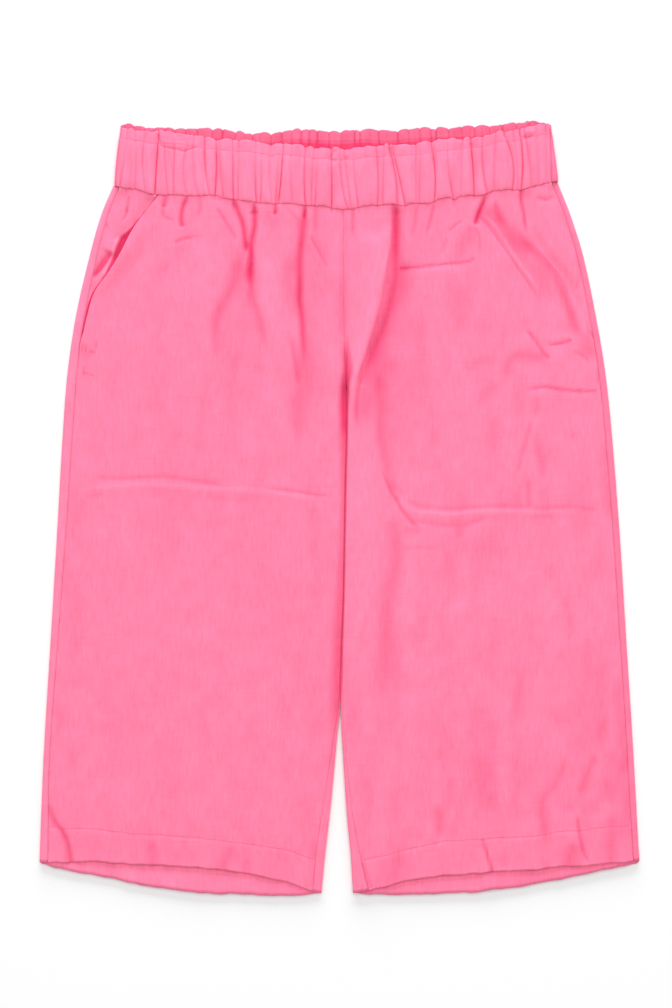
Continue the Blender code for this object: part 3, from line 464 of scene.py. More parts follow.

# Folds: height (a hollow below 0), painted shade (above 0; painted light on ridges below 0), half
# widths on the left and right hand of someone who walks along the fold, how crisp its line is, how it
# fades in and out, its places, and how much wider it is at its end
FOLDS = table(
    "height tint left right crisp start end path grow",
    # Left hip
    (-1.49, 0.51, 2.8, 2.8, 0.5, 3, 3, ((-144.7, 64), (-146.6, 74.5), (-149.5, 83.1), (-150.9, 92.6),
     (-149.5, 102.2))),
    (-0.44, 0.36, 2.6, 2.2, 0.5, 3, 20, ((-158.1, 116.5), (-151.4, 112.7), (-142.8, 110.8),
     (-127.5, 108.4)), 0.8),
    (-0.4, 0.1, 6.2, 6.2, 0.05, 8, 31, ((-155, 116), (-154, 126), (-160, 136), (-169, 144), (-175, 155),
     (-180, 164)), 1.8),
    (-0.2, 0.05, 16.2, 16.2, 0, 22, 42, ((-178, 155), (-177, 180), (-173, 218)), 1.2),
    (-1.24, 0.51, 3, 3, 0.4, 3, 3, ((-164, 64), (-166, 74), (-168, 83))),
    (-0.4, 0.23, 2.2, 2.2, 0.3, 4, 10, ((-167.6, 78.3), (-168.1, 87.9), (-163.8, 92.6), (-154.2, 95.5)),
     0.8),
    (-0.48, 0.23, 2.4, 2.4, 0.4, 3, 12, ((-136.1, 64), (-132.7, 77.4), (-134.2, 86.9), (-138, 95.5)), 1.2),
    (0.4, -0.05, 20.2, 20.2, 0, 22, 42, ((-136, 111), (-137, 143), (-139, 180), (-143, 218))),
    (-0.4, 0.37, 3, 3, 0.3, 2, 3, ((-120, 65), (-114, 71), (-110, 75))),
    # Folds that run together left of the centre, and part again below
    (-0.44, 0.3, 1.8, 1.8, 0.5, 6, 8, ((-117.9, 80.2), (-109.3, 94.5), (-102.7, 105), (-96, 115.6)), 1.3),
    (-1.98, 0.54, 3.2, 3.2, 0.4, 2, 10, ((-102, 64), (-100, 77), (-96, 88), (-92, 99), (-90, 115),
     (-88, 128)), 1.1),
    (-0.32, 0.33, 1.8, 1.8, 0.5, 3, 2, ((-87.4, 88.3), (-81.7, 86.4), (-76.4, 86.9))),
    (-2.23, 0.54, 2.7, 3.1, 0.45, 3, 22, ((-81, 76), (-81, 88), (-81, 101), (-84, 117), (-84, 132),
     (-85, 149), (-83, 166)), 1.8),
    (-0.4, 0.26, 3.4, 5, 0.15, 16, 30, ((-85, 151), (-82, 170), (-77, 185), (-73, 201), (-69, 222))),
    (-0.72, 0.3, 5.7, 7, 0.1, 20, 62, ((-92, 124), (-96, 134), (-98, 145), (-102, 159), (-109, 171),
     (-116, 184), (-118, 201), (-118, 218), (-117, 239)), 0.8),
    (0.35, -0.24, 1.1, 1.1, 0.7, 3, 8, ((-86.9, 118.4), (-89.3, 128.9), (-91.7, 141.3))),
    (-0.32, 0.11, 18.9, 16.2, 0, 28, 56, ((-92, 160), (-97, 199), (-99, 231), (-103, 265), (-105, 304))),
    (-0.32, 0.27, 8.1, 9.5, 0.1, 14, 31, ((-95, 113), (-90, 130), (-86, 149), (-87, 168), (-91, 187))),
    (-0.32, 0.07, 4.9, 4.9, 0, 14, 17, ((-98, 216), (-99, 233), (-101, 250))),
    (-0.32, 0.08, 4.9, 4.9, 0.1, 22, 25, ((-127, 231), (-129, 260), (-133, 285), (-136, 306))),
    (-0.2, 0.04, 5.4, 5.4, 0, 14, 17, ((-121, 258), (-123, 281), (-125, 302))),
    (0.7, -0.07, 10.8, 5.9, 0.1, 17, 70, ((-73, 92), (-71, 122), (-70, 160), (-64, 199), (-58, 239)), 1.6),
    (-1.24, 0.51, 2.2, 2.2, 0.5, 2, 3, ((-61.6, 71.6), (-61, 81.2), (-61.6, 90.7))),
    (-0.36, 0.15, 6.8, 6.8, 0, 8, 22, ((-62, 82), (-64, 99), (-64, 118)), 1.3),
    (-0.24, 0.15, 2, 2, 0.4, 4, 4, ((-51.1, 82.1), (-44.4, 88.8), (-38.7, 95.5))),
    # Second fold from the waist
    (-1.86, 0.54, 2.6, 2.6, 0.5, 3, 6, ((-34.3, 70.7), (-33.4, 82.1), (-33.4, 95.5)), 1.1),
    (-1.74, 0.51, 5, 5, 0.3, 10, 60, ((-34, 86), (-35, 103), (-37, 122), (-38, 141), (-38, 157), (-38, 172),
     (-36, 187), (-35, 204), (-34, 222), (-35, 243)), 0.75),
    (-0.4, 0.17, 12.2, 6.8, 0, 25, 70, ((-27, 96), (-25, 128), (-27, 170), (-27, 208), (-28, 246),
     (-31, 294))),
    (-0.32, 0.15, 6.8, 6.8, 0, 22, 22, ((-45, 118), (-47, 151), (-45, 189))),
    (-0.48, 0.21, 2.7, 2.7, 0.3, 8, 10, ((-46.3, 204.4), (-43.9, 219.6), (-41.5, 234.9), (-38.7, 254))),
    (-0.64, 0.27, 8.1, 7.6, 0.05, 34, 45, ((-36, 189), (-35, 218), (-37, 244), (-39, 269), (-38, 294),
     (-40, 325))),
    (-0.24, 0.06, 6.8, 6.8, 0, 17, 11, ((-32, 323), (-28, 346), (-26, 361))),
    (0.4, -0.05, 10.8, 10.8, 0, 25, 48, ((-14, 166), (-15, 208), (-18, 262))),
    (-0.32, 0.28, 1.2, 1.4, 0.9, 4, 12, ((-28.2, 107.9), (-19.6, 124.1), (-9.1, 143.2))),
    (0.3, -0.07, 1.6, 1.6, 0.5, 4, 8, ((-30.6, 112.7), (-23.4, 126.1), (-14.8, 140.4))),
    (-0.52, 0.3, 2.8, 2.8, 0.2, 3, 14, ((-23.4, 72.6), (-23.4, 86), (-22.9, 112.7)), 1.2),
    # Centre seam and the strip at its right
    (-0.32, 0.11, 3, 3.4, 0.2, 3, 10, ((5.3, 80.2), (5.3, 112.7), (4.8, 160.4), (4.3, 210.1)), 1.3),
    (-0.12, 0.06, 5.4, 5.4, 0, 22, 11, ((1.4, 143.2), (1.4, 170), (2.4, 208.2))),
    (-0.44, 0.28, 2, 2, 0.4, 3, 12, ((12.4, 78.3), (12.7, 93.6), (12.2, 112.7)), 1.2),
    (1.3, -0.18, 3.2, 12.2, 0.1, 20, 42, ((47, 96), (45, 124), (41, 149), (36, 172), (31, 194), (25, 215),
     (20, 231), (16, 244), (13, 258), (12, 273), (12, 290)), 0.45),
    (-2.36, 0.3, 5.4, 3.6, 0.2, 3, 40, ((54, 69), (54, 96), (54, 118), (54, 138), (53, 153), (50, 169),
     (46, 185), (40, 203), (33, 220), (26, 239), (23, 250)), 1.9),
    (-0.2, 0.34, 8, 0.8, 0.5, 4, 12, ((50, 74), (50, 96), (49, 117), (46, 134), (43, 151), (40, 170),
     (35, 189), (30, 206), (25, 222), (20, 237), (14, 252)), 1.5),
    (-0.6, 0.21, 8.1, 5.4, 0, 11, 36, ((58, 130), (62, 143), (62, 157), (57, 170), (51, 187)), 1.3),
    (-0.24, 0.3, 13.5, 9.5, 0.1, 22, 34, ((47, 210), (39, 229), (28, 254), (20, 277), (19, 304))),
    (-0.16, 0.18, 8.1, 5.4, 0.1, 17, 11, ((46, 338), (50, 351), (55, 367))),
    (-0.24, 0.34, 9.5, 8.1, 0.1, 8, 34, ((125, 87), (140, 91), (153, 101), (168, 117), (181, 136))),
    (-0.12, 0.49, 0.9, 0.9, 0.8, 1, 1, ((-245.4, 210.6), (-245.3, 219.6))),
    (-0.12, 0.41, 0.9, 0.9, 0.8, 1, 1, ((-242.1, 211.5), (-242.1, 220.6))),
    (-0.16, 0.41, 1.2, 1.2, 0.6, 1, 4, ((-240.2, 219.6), (-230.6, 220.1))),
    (-0.12, 0.29, 1.3, 1.3, 0.5, 3, 2, ((-231.6, 208.2), (-232.5, 217.7))),
    (-0.12, 0.33, 1.2, 1.2, 0.5, 2, 3, ((-245.9, 239.3), (-239.2, 240.3), (-232.5, 242.6))),
    (-0.12, 0.33, 1, 1, 0.7, 2, 2, ((-244, 233.5), (-244, 243.5))),
    (-0.44, 0.16, 20.2, 12.2, 0, 31, 48, ((66, 151), (62, 183), (55, 212), (51, 243), (49, 275), (47, 304),
     (50, 342))),
    (-0.48, 0.2, 2, 2, 0.4, 6, 16, ((21.5, 242.6), (18, 255.9), (16.1, 273.1), (16.7, 298))),
    (-0.56, 0.22, 8.1, 4.1, 0.1, 28, 14, ((34, 227), (37, 252), (38, 277), (38, 300), (42, 323), (47, 344),
     (53, 360)), 0.7),
    (-0.32, 0.28, 1.6, 1.4, 0.7, 16, 4, ((37.7, 326.6), (44.4, 342.8), (52, 360))),
    (0.45, -0.03, 13.5, 13.5, 0, 22, 48, ((25, 98), (25, 127), (21, 160), (16, 194))),
    (0.5, -0.07, 12.2, 12.2, 0, 42, 70, ((21, 304), (22, 380), (21, 456), (18, 546))),
    # Right hip
    (-0.44, 0.45, 1.7, 2.2, 0.7, 2, 12, ((56.8, 140.2), (72.1, 139), (96, 136.1), (117, 134.5),
     (126.5, 131.8), (133.2, 127)), 0.8),
    (0.35, -0.04, 4.6, 8.1, 0.1, 11, 20, ((58, 147), (75, 145), (99, 142), (117, 141))),
    (-1.74, 0.54, 2.8, 2.8, 0.5, 3, 6, ((140.9, 63), (137, 77.4), (132.3, 88.8), (128, 101.2))),
    (-0.52, 0.18, 5.4, 5.4, 0.1, 8, 20, ((128, 97), (122, 113), (114, 128), (111, 141)), 1.5),
    (-0.32, 0.2, 1.8, 1.8, 0.5, 5, 8, ((128.4, 99.3), (133.2, 110.8), (133.7, 128))),
    (-0.4, 0.12, 12.2, 6.8, 0, 22, 36, ((111, 143), (112, 170), (116, 199), (121, 218)), 1.3),
    (-0.2, 0.07, 17.6, 17.6, 0, 14, 17, ((133, 185), (136, 199), (136, 212))),
    (-0.32, 0.28, 1.1, 1.3, 0.8, 6, 18, ((131.3, 88.8), (142.8, 100.3), (153.3, 115.6), (162.8, 128.9),
     (169.5, 139.4), (179.1, 152.8), (192.4, 173.8))),
    (0.4, -0.24, 1.3, 1.3, 0.5, 4, 18, ((137, 88.8), (148.5, 100.3), (158.5, 115.6), (166.6, 128),
     (174.3, 139.4), (182.9, 150.9), (193.4, 167.1))),
    (-0.64, 0.36, 3.5, 3.5, 0.1, 11, 20, ((148, 72), (150, 85), (155, 96), (163, 107)), 1.4),
    (-0.4, 0.16, 16.2, 9.5, 0.1, 25, 42, ((157, 99), (169, 118), (181, 136), (194, 154), (206, 171),
     (214, 186)), 0.8),
    (-0.64, 0.38, 4, 5, 0.15, 22, 12, ((170, 102), (178, 116), (190, 126), (201, 136), (209, 150),
     (215, 166), (220, 181), (226, 197), (231, 208)), 0.9),
    (-1.36, 0.52, 2.2, 2.2, 0.5, 3, 16, ((172.4, 63), (173.8, 78.3), (176.2, 89.8), (177.6, 108.9)), 1.3),
    (-0.48, 0.25, 4.3, 4.3, 0.1, 6, 22, ((181, 73), (186, 88), (191, 115)), 1.3),
    (-0.44, 0.34, 2.2, 2.2, 0.4, 4, 8, ((202, 76.4), (204.8, 87.9), (212.5, 100.3))),
    (-0.32, 0.31, 1.6, 1.6, 0.5, 3, 5, ((208.2, 70.7), (208.7, 85))),
    (-0.2, 0.25, 1.2, 1.2, 0.7, 4, 3, ((184.8, 73.1), (197.2, 74), (207.7, 69.7))),
    (-0.48, 0.34, 2.4, 2.4, 0.2, 8, 9, ((222, 108.9), (226.8, 126.1), (229.2, 141.3), (226.8, 155.7),
     (223, 170))),
    (0.5, -0.24, 12.2, 12.2, 0, 11, 17, ((197, 105), (206, 120), (216, 139))),
    (-0.52, 0.49, 1.6, 2, 0.6, 8, 2, ((195.3, 212.6), (208.7, 211.6), (222, 208.2))),
    (0.3, -0.09, 3.5, 3.5, 0.1, 7, 7, ((199, 207), (211, 206), (221, 202))),
    (-0.48, 0.36, 1.9, 1.9, 0.5, 9, 5, ((176.2, 195.8), (186.7, 209.1), (194.3, 220.1), (202, 227.3))),
    (-0.32, 0.25, 1.7, 1.7, 0.5, 5, 5, ((221.1, 217.7), (229.7, 222), (240.2, 229.2))),
    (-0.24, 0.22, 5.4, 5.4, 0.1, 8, 8, ((233, 199), (237, 213), (243, 225))),
    (-0.4, 0.22, 5.4, 5.4, 0.05, 11, 14, ((203, 224), (188, 226), (171, 224), (163, 229), (159, 241),
     (155, 250)), 1.1),
    (-0.32, 0.13, 6.8, 6.8, 0, 11, 17, ((155, 246), (146, 255), (136, 264), (132, 277)), 1.2),
    (-0.28, 0.12, 6.2, 6.2, 0, 11, 11, ((155, 228), (139, 229), (125, 235), (124, 246))),
    (-0.36, 0.44, 1.6, 2.2, 0.6, 14, 3, ((174.3, 256.4), (185.7, 254), (197.2, 252.9), (212.5, 255.5),
     (229.7, 256.9), (246.9, 256.4))),
    (0.3, -0.04, 4.1, 6.8, 0.1, 17, 17, ((176, 263), (197, 259), (216, 262), (243, 263))),
    (-0.32, 0.18, 3.8, 3.8, 0.1, 8, 8, ((188, 260), (187, 271), (186, 284))),
    (-0.28, 0.16, 2.4, 2.4, 0.2, 10, 14, ((183.8, 282.7), (175.2, 313.2), (167.6, 341.9)), 1.3),
    (-0.32, 0.16, 4.1, 4.9, 0.1, 17, 14, ((187, 292), (190, 315), (196, 346))),
    (-0.32, 0.23, 3, 3, 0.2, 12, 4, ((180, 336), (180, 353), (181, 369))),
    (-0.16, 0.07, 8.1, 8.1, 0, 14, 14, ((197, 302), (197, 336))),
    (-0.24, 0.11, 6.2, 6.2, 0, 17, 20, ((153, 275), (148, 302), (149, 327))),
    (-0.4, 0.21, 2, 2, 0.4, 3, 12, ((74, 78.3), (72.1, 93.6), (68.3, 114.6)), 1.3),
    (-0.44, 0.28, 2, 2, 0.4, 3, 12, ((90.2, 78.3), (86.4, 94.5), (81.7, 112.7)), 1.3),
    (-0.36, 0.28, 1.6, 1.6, 0.5, 4, 6, ((117.9, 93.6), (111.3, 98.4), (101.7, 106))),
    (-0.28, 0.16, 2.6, 2.6, 0.2, 4, 8, ((102.7, 108.9), (98.8, 121.3), (94.1, 128.9))),
    (-0.24, 0.19, 5.4, 5.4, 0, 20, 17, ((252, 298), (255, 330), (257, 361), (259, 384))),
    (-0.24, 0.23, 1.8, 1.8, 0.4, 4, 5, ((245.9, 231.1), (246.9, 252.1))),
    # Crease across the left leg
    (-0.28, 0.16, 2.2, 2.6, 0.4, 16, 16, ((-238.3, 339.5), (-209.6, 340), (-185.7, 339), (-166.6, 338.5),
     (-147.5, 340.9), (-128.4, 343.8), (-106.5, 347.1))),
    (0.4, -0.12, 2.6, 3.6, 0.3, 16, 24, ((-244, 350), (-219, 349), (-181, 347), (-133, 350), (-74, 353),
     (-38, 358), (-17, 361))),
    (-0.4, 0.22, 1.8, 2.2, 0.5, 16, 8, ((-72.1, 349.1), (-52, 351.4), (-37.7, 353.3), (-23.4, 355.7),
     (-7.2, 356.7))),
    (-0.2, 0.05, 5.4, 5.4, 0.1, 17, 20, ((-135, 358), (-114, 361), (-90, 361), (-63, 360))),
    (-0.2, 0.08, 2.4, 2.6, 0.3, 5, 7, ((-245.9, 355.7), (-235.4, 357.2), (-222, 354.8))),
    # Crease across the right leg
    (-0.56, 0.41, 2.4, 2.2, 0.4, 5, 10, ((52, 354.3), (55.4, 362.4), (58.7, 368.6), (64.5, 376.3),
     (70.2, 383), (77.8, 388.7)), 0.8),
    (-0.28, 0.16, 2.2, 2.4, 0.4, 10, 12, ((61.6, 360), (76.9, 366.2), (105.5, 369.1), (134.2, 367.7),
     (162.8, 366.7), (191.5, 368.6), (220.1, 367.2), (250.7, 371.5))),
    (0.55, -0.19, 2.2, 3.2, 0.35, 8, 130, ((53, 350), (58, 361), (65, 370), (79, 374), (101, 375),
     (129, 373), (153, 372), (191, 373), (230, 373), (250, 375))),
    (-0.32, 0.16, 2.4, 2.8, 0.4, 8, 12, ((69.2, 380.1), (91.2, 383.9), (113.2, 385.3), (128.4, 381.5),
     (144.7, 375.3))),
    (-0.32, 0.15, 4.3, 4.3, 0, 6, 11, ((111, 385), (114, 393), (107, 401))),
    (-0.36, 0.16, 5.4, 5.4, 0.1, 7, 11, ((58, 388), (69, 391), (83, 390)), 0.6),
    (-0.24, 0.11, 2.4, 2.6, 0.2, 8, 9, ((177.2, 376.3), (191.5, 377.2), (207.7, 375.3))),
    (-0.24, 0.11, 1.8, 2, 0.4, 8, 12, ((55.9, 408.2), (74, 406.4), (96, 407.8))),
    (-0.2, 0.1, 1.8, 2, 0.3, 4, 5, ((218.2, 302.3), (223, 299.9), (230.6, 298))),
    # Soft lengthwise hollows
    (-0.68, 0.23, 7.3, 7, 0.05, 22, 84, ((49, 372), (53, 397), (54, 420), (49, 443), (46, 468), (45, 495),
     (43, 521), (40, 550), (31, 575)), 1.1),
    (-0.24, 0.05, 4.9, 4.9, 0.1, 20, 22, ((96, 403), (107, 426), (106, 447), (99, 468), (97, 495),
     (94, 521))),
    (-0.32, 0.12, 3.8, 3.8, 0.05, 14, 14, ((218, 447), (216, 462), (220, 478), (219, 502))),
    (-0.28, 0.08, 4.9, 4.9, 0, 11, 11, ((202, 418), (201, 443))),
    (-0.32, 0.1, 4.6, 4.6, 0, 17, 22, ((237, 481), (236, 504), (236, 544))),
    (-0.32, 0.09, 6.8, 6.8, 0.05, 22, 22, ((153, 466), (149, 491), (145, 514), (142, 544))),
    (-0.32, 0.1, 4.6, 4.6, 0.05, 17, 17, ((178, 521), (170, 541), (169, 558), (161, 579)), 1.1),
    (-0.24, 0.08, 4.9, 4.9, 0, 8, 8, ((137, 555), (136, 571))),
    (-0.24, 0.08, 10.8, 10.8, 0, 17, 20, ((202, 552), (207, 567), (224, 583))),
    (0.25, -0.06, 6.8, 6.8, 0, 17, 17, ((191, 439), (198, 462), (203, 487))),
    (0.2, -0.12, 12.2, 12.2, 0, 22, 28, ((70, 386), (75, 418), (74, 456), (69, 495))),
    (-0.16, 0.09, 20.2, 17.6, 0, 22, 22, ((207, 625), (224, 646), (247, 659))),
    (-0.12, 0.07, 23, 23, 0, 22, 22, ((134, 644), (144, 670), (151, 695))),
    (0.3, -0.07, 13.5, 13.5, 0, 17, 17, ((117, 447), (120, 462), (123, 479))),
    (0.25, -0.06, 7.4, 7.4, 0, 14, 17, ((62, 500), (69, 516), (80, 537))),
    (0.25, -0.04, 14.9, 14.9, 0, 20, 20, ((197, 518), (198, 552))),
    (-0.24, 0.08, 4.6, 4.6, 0, 11, 11, ((95, 592), (97, 607), (100, 623))),
    (-0.44, 0.16, 4.9, 4.9, 0.05, 17, 14, ((94, 644), (94, 667), (94, 688))),
    (-0.18, 0.05, 13.5, 13.5, 0, 28, 28, ((127, 592), (132, 611), (138, 630), (144, 647), (139, 663),
     (134, 676))),
    (-0.16, 0.08, 5.7, 5.7, 0, 11, 11, ((148, 636), (145, 649), (138, 663))),
    (-0.16, 0.05, 13.5, 13.5, 0, 20, 20, ((107, 621), (110, 653))),
    (-0.24, 0.09, 8.8, 8.8, 0, 14, 11, ((66, 667), (65, 693))),
    (0.25, -0.05, 4.9, 4.9, 0, 17, 17, ((50, 605), (51, 646))),
    (-0.44, 0.15, 4.3, 4.3, 0.1, 20, 17, ((216, 600), (212, 619), (205, 634), (196, 645), (193, 657),
     (196, 674), (198, 693)), 1.1),
    (-0.32, 0.1, 4.9, 4.9, 0, 20, 11, ((255, 560), (251, 579), (246, 598))),
    (-0.48, 0.2, 3.8, 3.8, 0.1, 13, 13, ((246, 600), (240, 615), (233, 630), (227, 647))),
    (-0.24, 0.12, 4.3, 4.3, 0, 8, 8, ((219, 645), (219, 663))),
    (-0.24, 0.12, 6.2, 6.2, 0, 13, 13, ((241, 644), (246, 670))),
    (-0.28, 0.1, 5.4, 5.4, 0, 14, 11, ((253, 621), (255, 640), (260, 655))),
    (-0.4, 0.2, 4.6, 4.6, 0, 25, 11, ((267, 525), (267, 552), (270, 581), (273, 609), (266, 625))),
    (-0.24, 0.14, 4.6, 4.6, 0, 14, 17, ((276, 625), (276, 647), (277, 676))),
    (-0.4, 0.09, 6.2, 6.2, 0.05, 11, 28, ((-25, 363), (-24, 399), (-21, 437), (-21, 476))),
    (-0.48, 0.09, 4.6, 4.6, 0, 20, 20, ((-260, 411), (-262, 437), (-260, 464))),
    (-0.28, 0.06, 5.9, 5.9, 0, 20, 20, ((-254, 476), (-251, 514), (-249, 554))),
    (-0.48, 0.1, 4.6, 4.6, 0, 17, 17, ((-267, 548), (-267, 569), (-268, 592))),
    (-0.4, 0.09, 5.9, 5.9, 0, 14, 14, ((-257, 592), (-255, 611), (-252, 632))),
    (-0.28, 0.06, 16.2, 16.2, 0, 14, 14, ((-137, 642), (-129, 653))),
    (-0.2, 0.04, 12.2, 12.2, 0, 22, 20, ((-164, 581), (-168, 617), (-171, 640))),
    (-0.2, 0.04, 13.5, 13.5, 0, 14, 14, ((-84, 583), (-91, 600))),
    (-0.2, 0.04, 10.8, 10.8, 0, 13, 13, ((-150, 502), (-136, 523))),
    # Hems
    (-1.49, 0.43, 3, 3.4, 0.3, 10, 1, ((-279, 647), (-272, 667), (-264, 678), (-259, 691), (-255, 711)),
     1.1),
    (-0.48, 0.19, 4.1, 4.1, 0.1, 11, 1, ((-179, 682), (-179, 695), (-178, 714)), 1.3),
    (-0.48, 0.22, 4.6, 4.6, 0.1, 11, 1, ((-99, 688), (-107, 703), (-116, 718)), 1.3),
    (-0.36, 0.15, 4.9, 4.9, 0, 7, 1, ((-86, 700), (-89, 711), (-89, 722)), 1.2),
    (-0.4, 0.16, 5.1, 5.1, 0, 14, 3, ((-21, 676), (-22, 695), (-20, 707), (-20, 728))),
    (-0.48, 0.54, 1.5, 1.7, 0.7, 8, 1, ((136.1, 680), (139, 693.3), (142.8, 704.8), (146.1, 718.2)), 1.2),
    (0.6, -0.18, 2.2, 3.2, 0.3, 6, 1, ((132, 691), (136, 703), (141, 716))),
    (-0.64, 0.32, 5.9, 5.9, 0.1, 11, 1, ((223, 684), (222, 699), (218, 716)), 1.5),
    (-0.56, 0.36, 2.2, 2.2, 0.4, 10, 5, ((226.8, 658.9), (227.8, 674.2), (231.1, 691.4), (237.3, 706.7))),
    (-0.52, 0.22, 6.2, 6.2, 0.05, 17, 1, ((262, 655), (259, 678), (258, 695), (260, 714)), 1.2),
    (-0.32, 0.14, 4.1, 4.1, 0, 10, 3, ((156, 691), (157, 712))),
    (-0.2, 0.07, 6.8, 6.8, 0, 11, 3, ((58, 695), (59, 714))),
    (-0.44, 0.25, 2.6, 2.6, 0.3, 7, 1, ((17.7, 691.4), (22.4, 708.6), (30.1, 731.5))),
)

FACING_FOLDS = table(
    "height tint left right crisp start end path grow",
    # Left facing
    (-0.8, 0.38, 1.5, 1.5, 0.7, 1, 6, ((-200.6, 71.1), (-202, 80.2), (-202.7, 91.7))),
    (-0.7, 0.3, 2, 2, 0.3, 4, 5, ((-226.5, 90.7), (-223.5, 96.9), (-220.1, 104.1))),
    (2, -0.5, 2, 2.4, 0.5, 8, 8, ((-210.6, 108.9), (-216.3, 127), (-222.4, 141.3), (-227.8, 151.8))),
    (-4, 0.72, 2.4, 5.5, 0.5, 3, 9, ((-216.6, 124), (-221.4, 132.3), (-227, 139.4), (-232.7, 145.7),
     (-240.7, 149))),
    (-1.9, 0.23, 5, 5, 0, 6, 10, ((-202, 107), (-210.1, 123.2), (-217.3, 138.5))),
    (-1, 0.42, 1.6, 1.6, 0.6, 5, 4, ((-191.5, 91.7), (-196.7, 102.2), (-199.1, 107), (-204.8, 107.4))),
    (-0.8, 0.1, 2.5, 2.5, 0.5, 4, 4, ((-240, 151.8), (-237.3, 156.6), (-234.8, 161.4))),
    (-1.6, 0.2, 3.5, 3.5, 0.3, 8, 6, ((-236.4, 169), (-239.2, 185.3), (-242.1, 199.6))),
    (-0.7, 0.36, 1.4, 1.4, 0.6, 2, 5, ((-202.5, 81.2), (-204.4, 90.7), (-208.7, 95.5))),
    # Right facing
    (-1.2, 0.15, 2.4, 2.6, 0.7, 5, 4, ((186.5, 73), (198.2, 75.1), (205.8, 70))),
    (-1.2, 0.15, 2.6, 2.6, 0.6, 8, 8, ((228.7, 124.1), (228.2, 149), (224.9, 165.2))),
    (0.8, 0, 4, 4, 0.2, 14, 10, ((232.5, 133.7), (230.2, 157.6), (236.4, 208.2))),
    (-0.6, 0.07, 4, 5, 0, 10, 10, ((210.6, 79.3), (216.3, 98.4), (223, 118.4))),
)

# Folds of the front waistband: the flap that turned over at its heading, and small tucks
BAND_FOLDS = table(
    "height tint left right crisp start end path grow",
    (-0.8, 0.42, 1.1, 1.1, 0.8, 1, 8, ((-172.6, 12), (-171, 20), (-167.6, 24.4), (-156.1, 26.5),
     (-148, 28.5), (-142.8, 26.6), (-133.4, 24.4))),
    (0.35, 0, 4, 4, 0.1, 4, 10, ((-168, 19), (-158, 21.5), (-148, 23), (-134, 20))),
    (-0.9, 0.11, 1.4, 2.2, 0.7, 1, 2, ((-150.5, 13), (-150.6, 20.5))),
    (-1.2, 0.15, 2, 2, 0.7, 2, 3, ((-4.6, 26.5), (-6.8, 32.5), (-8.4, 35), (-5.6, 37.8), (-1.6, 38.4))),
    (-0.8, 0.1, 1.8, 1.8, 0.6, 2, 2, ((4.8, 34), (8.6, 37.6))),
    (-0.9, 0.11, 1.8, 1.8, 0.6, 2, 2, ((49.2, 24.5), (49.2, 30.5), (52.4, 33))),
    (-1.1, 0.14, 1.8, 1.8, 0.7, 2, 3, ((174.6, 13.6), (178, 16.2), (182, 14.8), (185, 12.4))),
    (0.9, 0, 3, 4, 0.2, 3, 3, ((175, 8.6), (181, 10.4), (187, 8.6))),
    (-0.7, 0.09, 1.8, 1.8, 0.6, 2, 2, ((125, 20), (126.6, 27.5))),
)

# Folds of the back panels, which rise from the surface that the garment lies on
BACK_FOLDS = table(
    "height tint left right crisp start end path grow",
    (0.9, 0, 3.5, 3.5, 0.4, 1, 10, ((-170, 72), (-168, 86), (-164, 100))),
    (1.1, 0, 3.5, 3.5, 0.4, 1, 12, ((-128, 73), (-130, 92), (-134, 112))),
    (1, 0, 3, 3, 0.4, 1, 10, ((-86, 75), (-84, 92), (-80, 108))),
    (1.2, 0, 3.5, 4, 0.4, 1, 14, ((-42, 77), (-45, 100), (-50, 126))),
    (1, 0, 3, 3, 0.4, 1, 10, ((38, 77), (40, 94), (44, 112))),
    (1.2, 0, 4, 3.5, 0.4, 1, 14, ((84, 75), (82, 98), (76, 126))),
    (1, 0, 3, 3, 0.4, 1, 10, ((126, 72), (130, 90), (136, 106))),
    (0.9, 0, 3.5, 3.5, 0.4, 1, 10, ((168, 69), (166, 84), (160, 98))),
    (0.8, 0, 14, 14, 0, 30, 40, ((-110, 170), (-122, 240), (-126, 330))),
    (0.8, 0, 14, 14, 0, 30, 40, ((96, 160), (108, 240), (112, 340))),
    (0.9, 0, 4, 4, 0.4, 12, 18, ((-40, 210), (-70, 226), (-108, 232))),
    (0.9, 0, 4, 4, 0.4, 12, 18, ((52, 206), (84, 224), (120, 228))),
    (0.6, 0, 3, 4, 0.5, 20, 30, ((-244, 344), (-140, 350), (-20, 360))),
    (0.6, 0, 3, 4, 0.5, 20, 30, ((40, 362), (140, 372), (250, 374))),
    (0.7, 0, 16, 16, 0, 40, 60, ((-60, 420), (-66, 520), (-64, 640))),
    (0.7, 0, 16, 16, 0, 40, 60, ((170, 430), (176, 520), (182, 650))),
    (0.9, 0, 3, 4, 0.6, 4, 1, ((138, 716), (142, 724), (148, 734))),
    (0.7, 0, 3, 4, 0.5, 3, 1, ((206, 717), (210, 720), (214, 724))),
    (0.8, 0, 4, 4, 0.4, 6, 1, ((-206, 700), (-200, 712), (-197, 729))),
    (0.6, 0, 4, 4, 0.3, 6, 1, ((-90, 708), (-88, 722), (-90, 738))),
)

# Hem edges, front and back, and the distance of the front's hem stitching above its edge
HEM_WAVE = 0.55
HEM_HEIGHT = 3.4
HEMS = table(
    "x front back stitch",
    (-286, 706, 707, 35.3),
    (-265, 706.6, 713.2, 33.6),
    (-230, 706.4, 719.8, 31.4),
    (-190, 708.8, 728.3, 29.8),
    (-141, 711, 735.1, 29.1),
    (-97, 716.2, 737.1, 28.6),
    (-54, 724.6, 738.1, 31.2),
    (-19, 736.4, 736.4, 31.5),
    (13, 735.9, 735.9, 32.4),
    (32, 732.4, 737.4, 30.8),
    (71, 723, 737.3, 31),
    (104, 718.8, 736.8, 33.4),
    (148, 715.6, 733, 32.8),
    (184, 713.6, 728.4, 32.8),
    (232, 709.6, 719, 35.1),
    (286, 705.4, 706.4, 35.3),
)

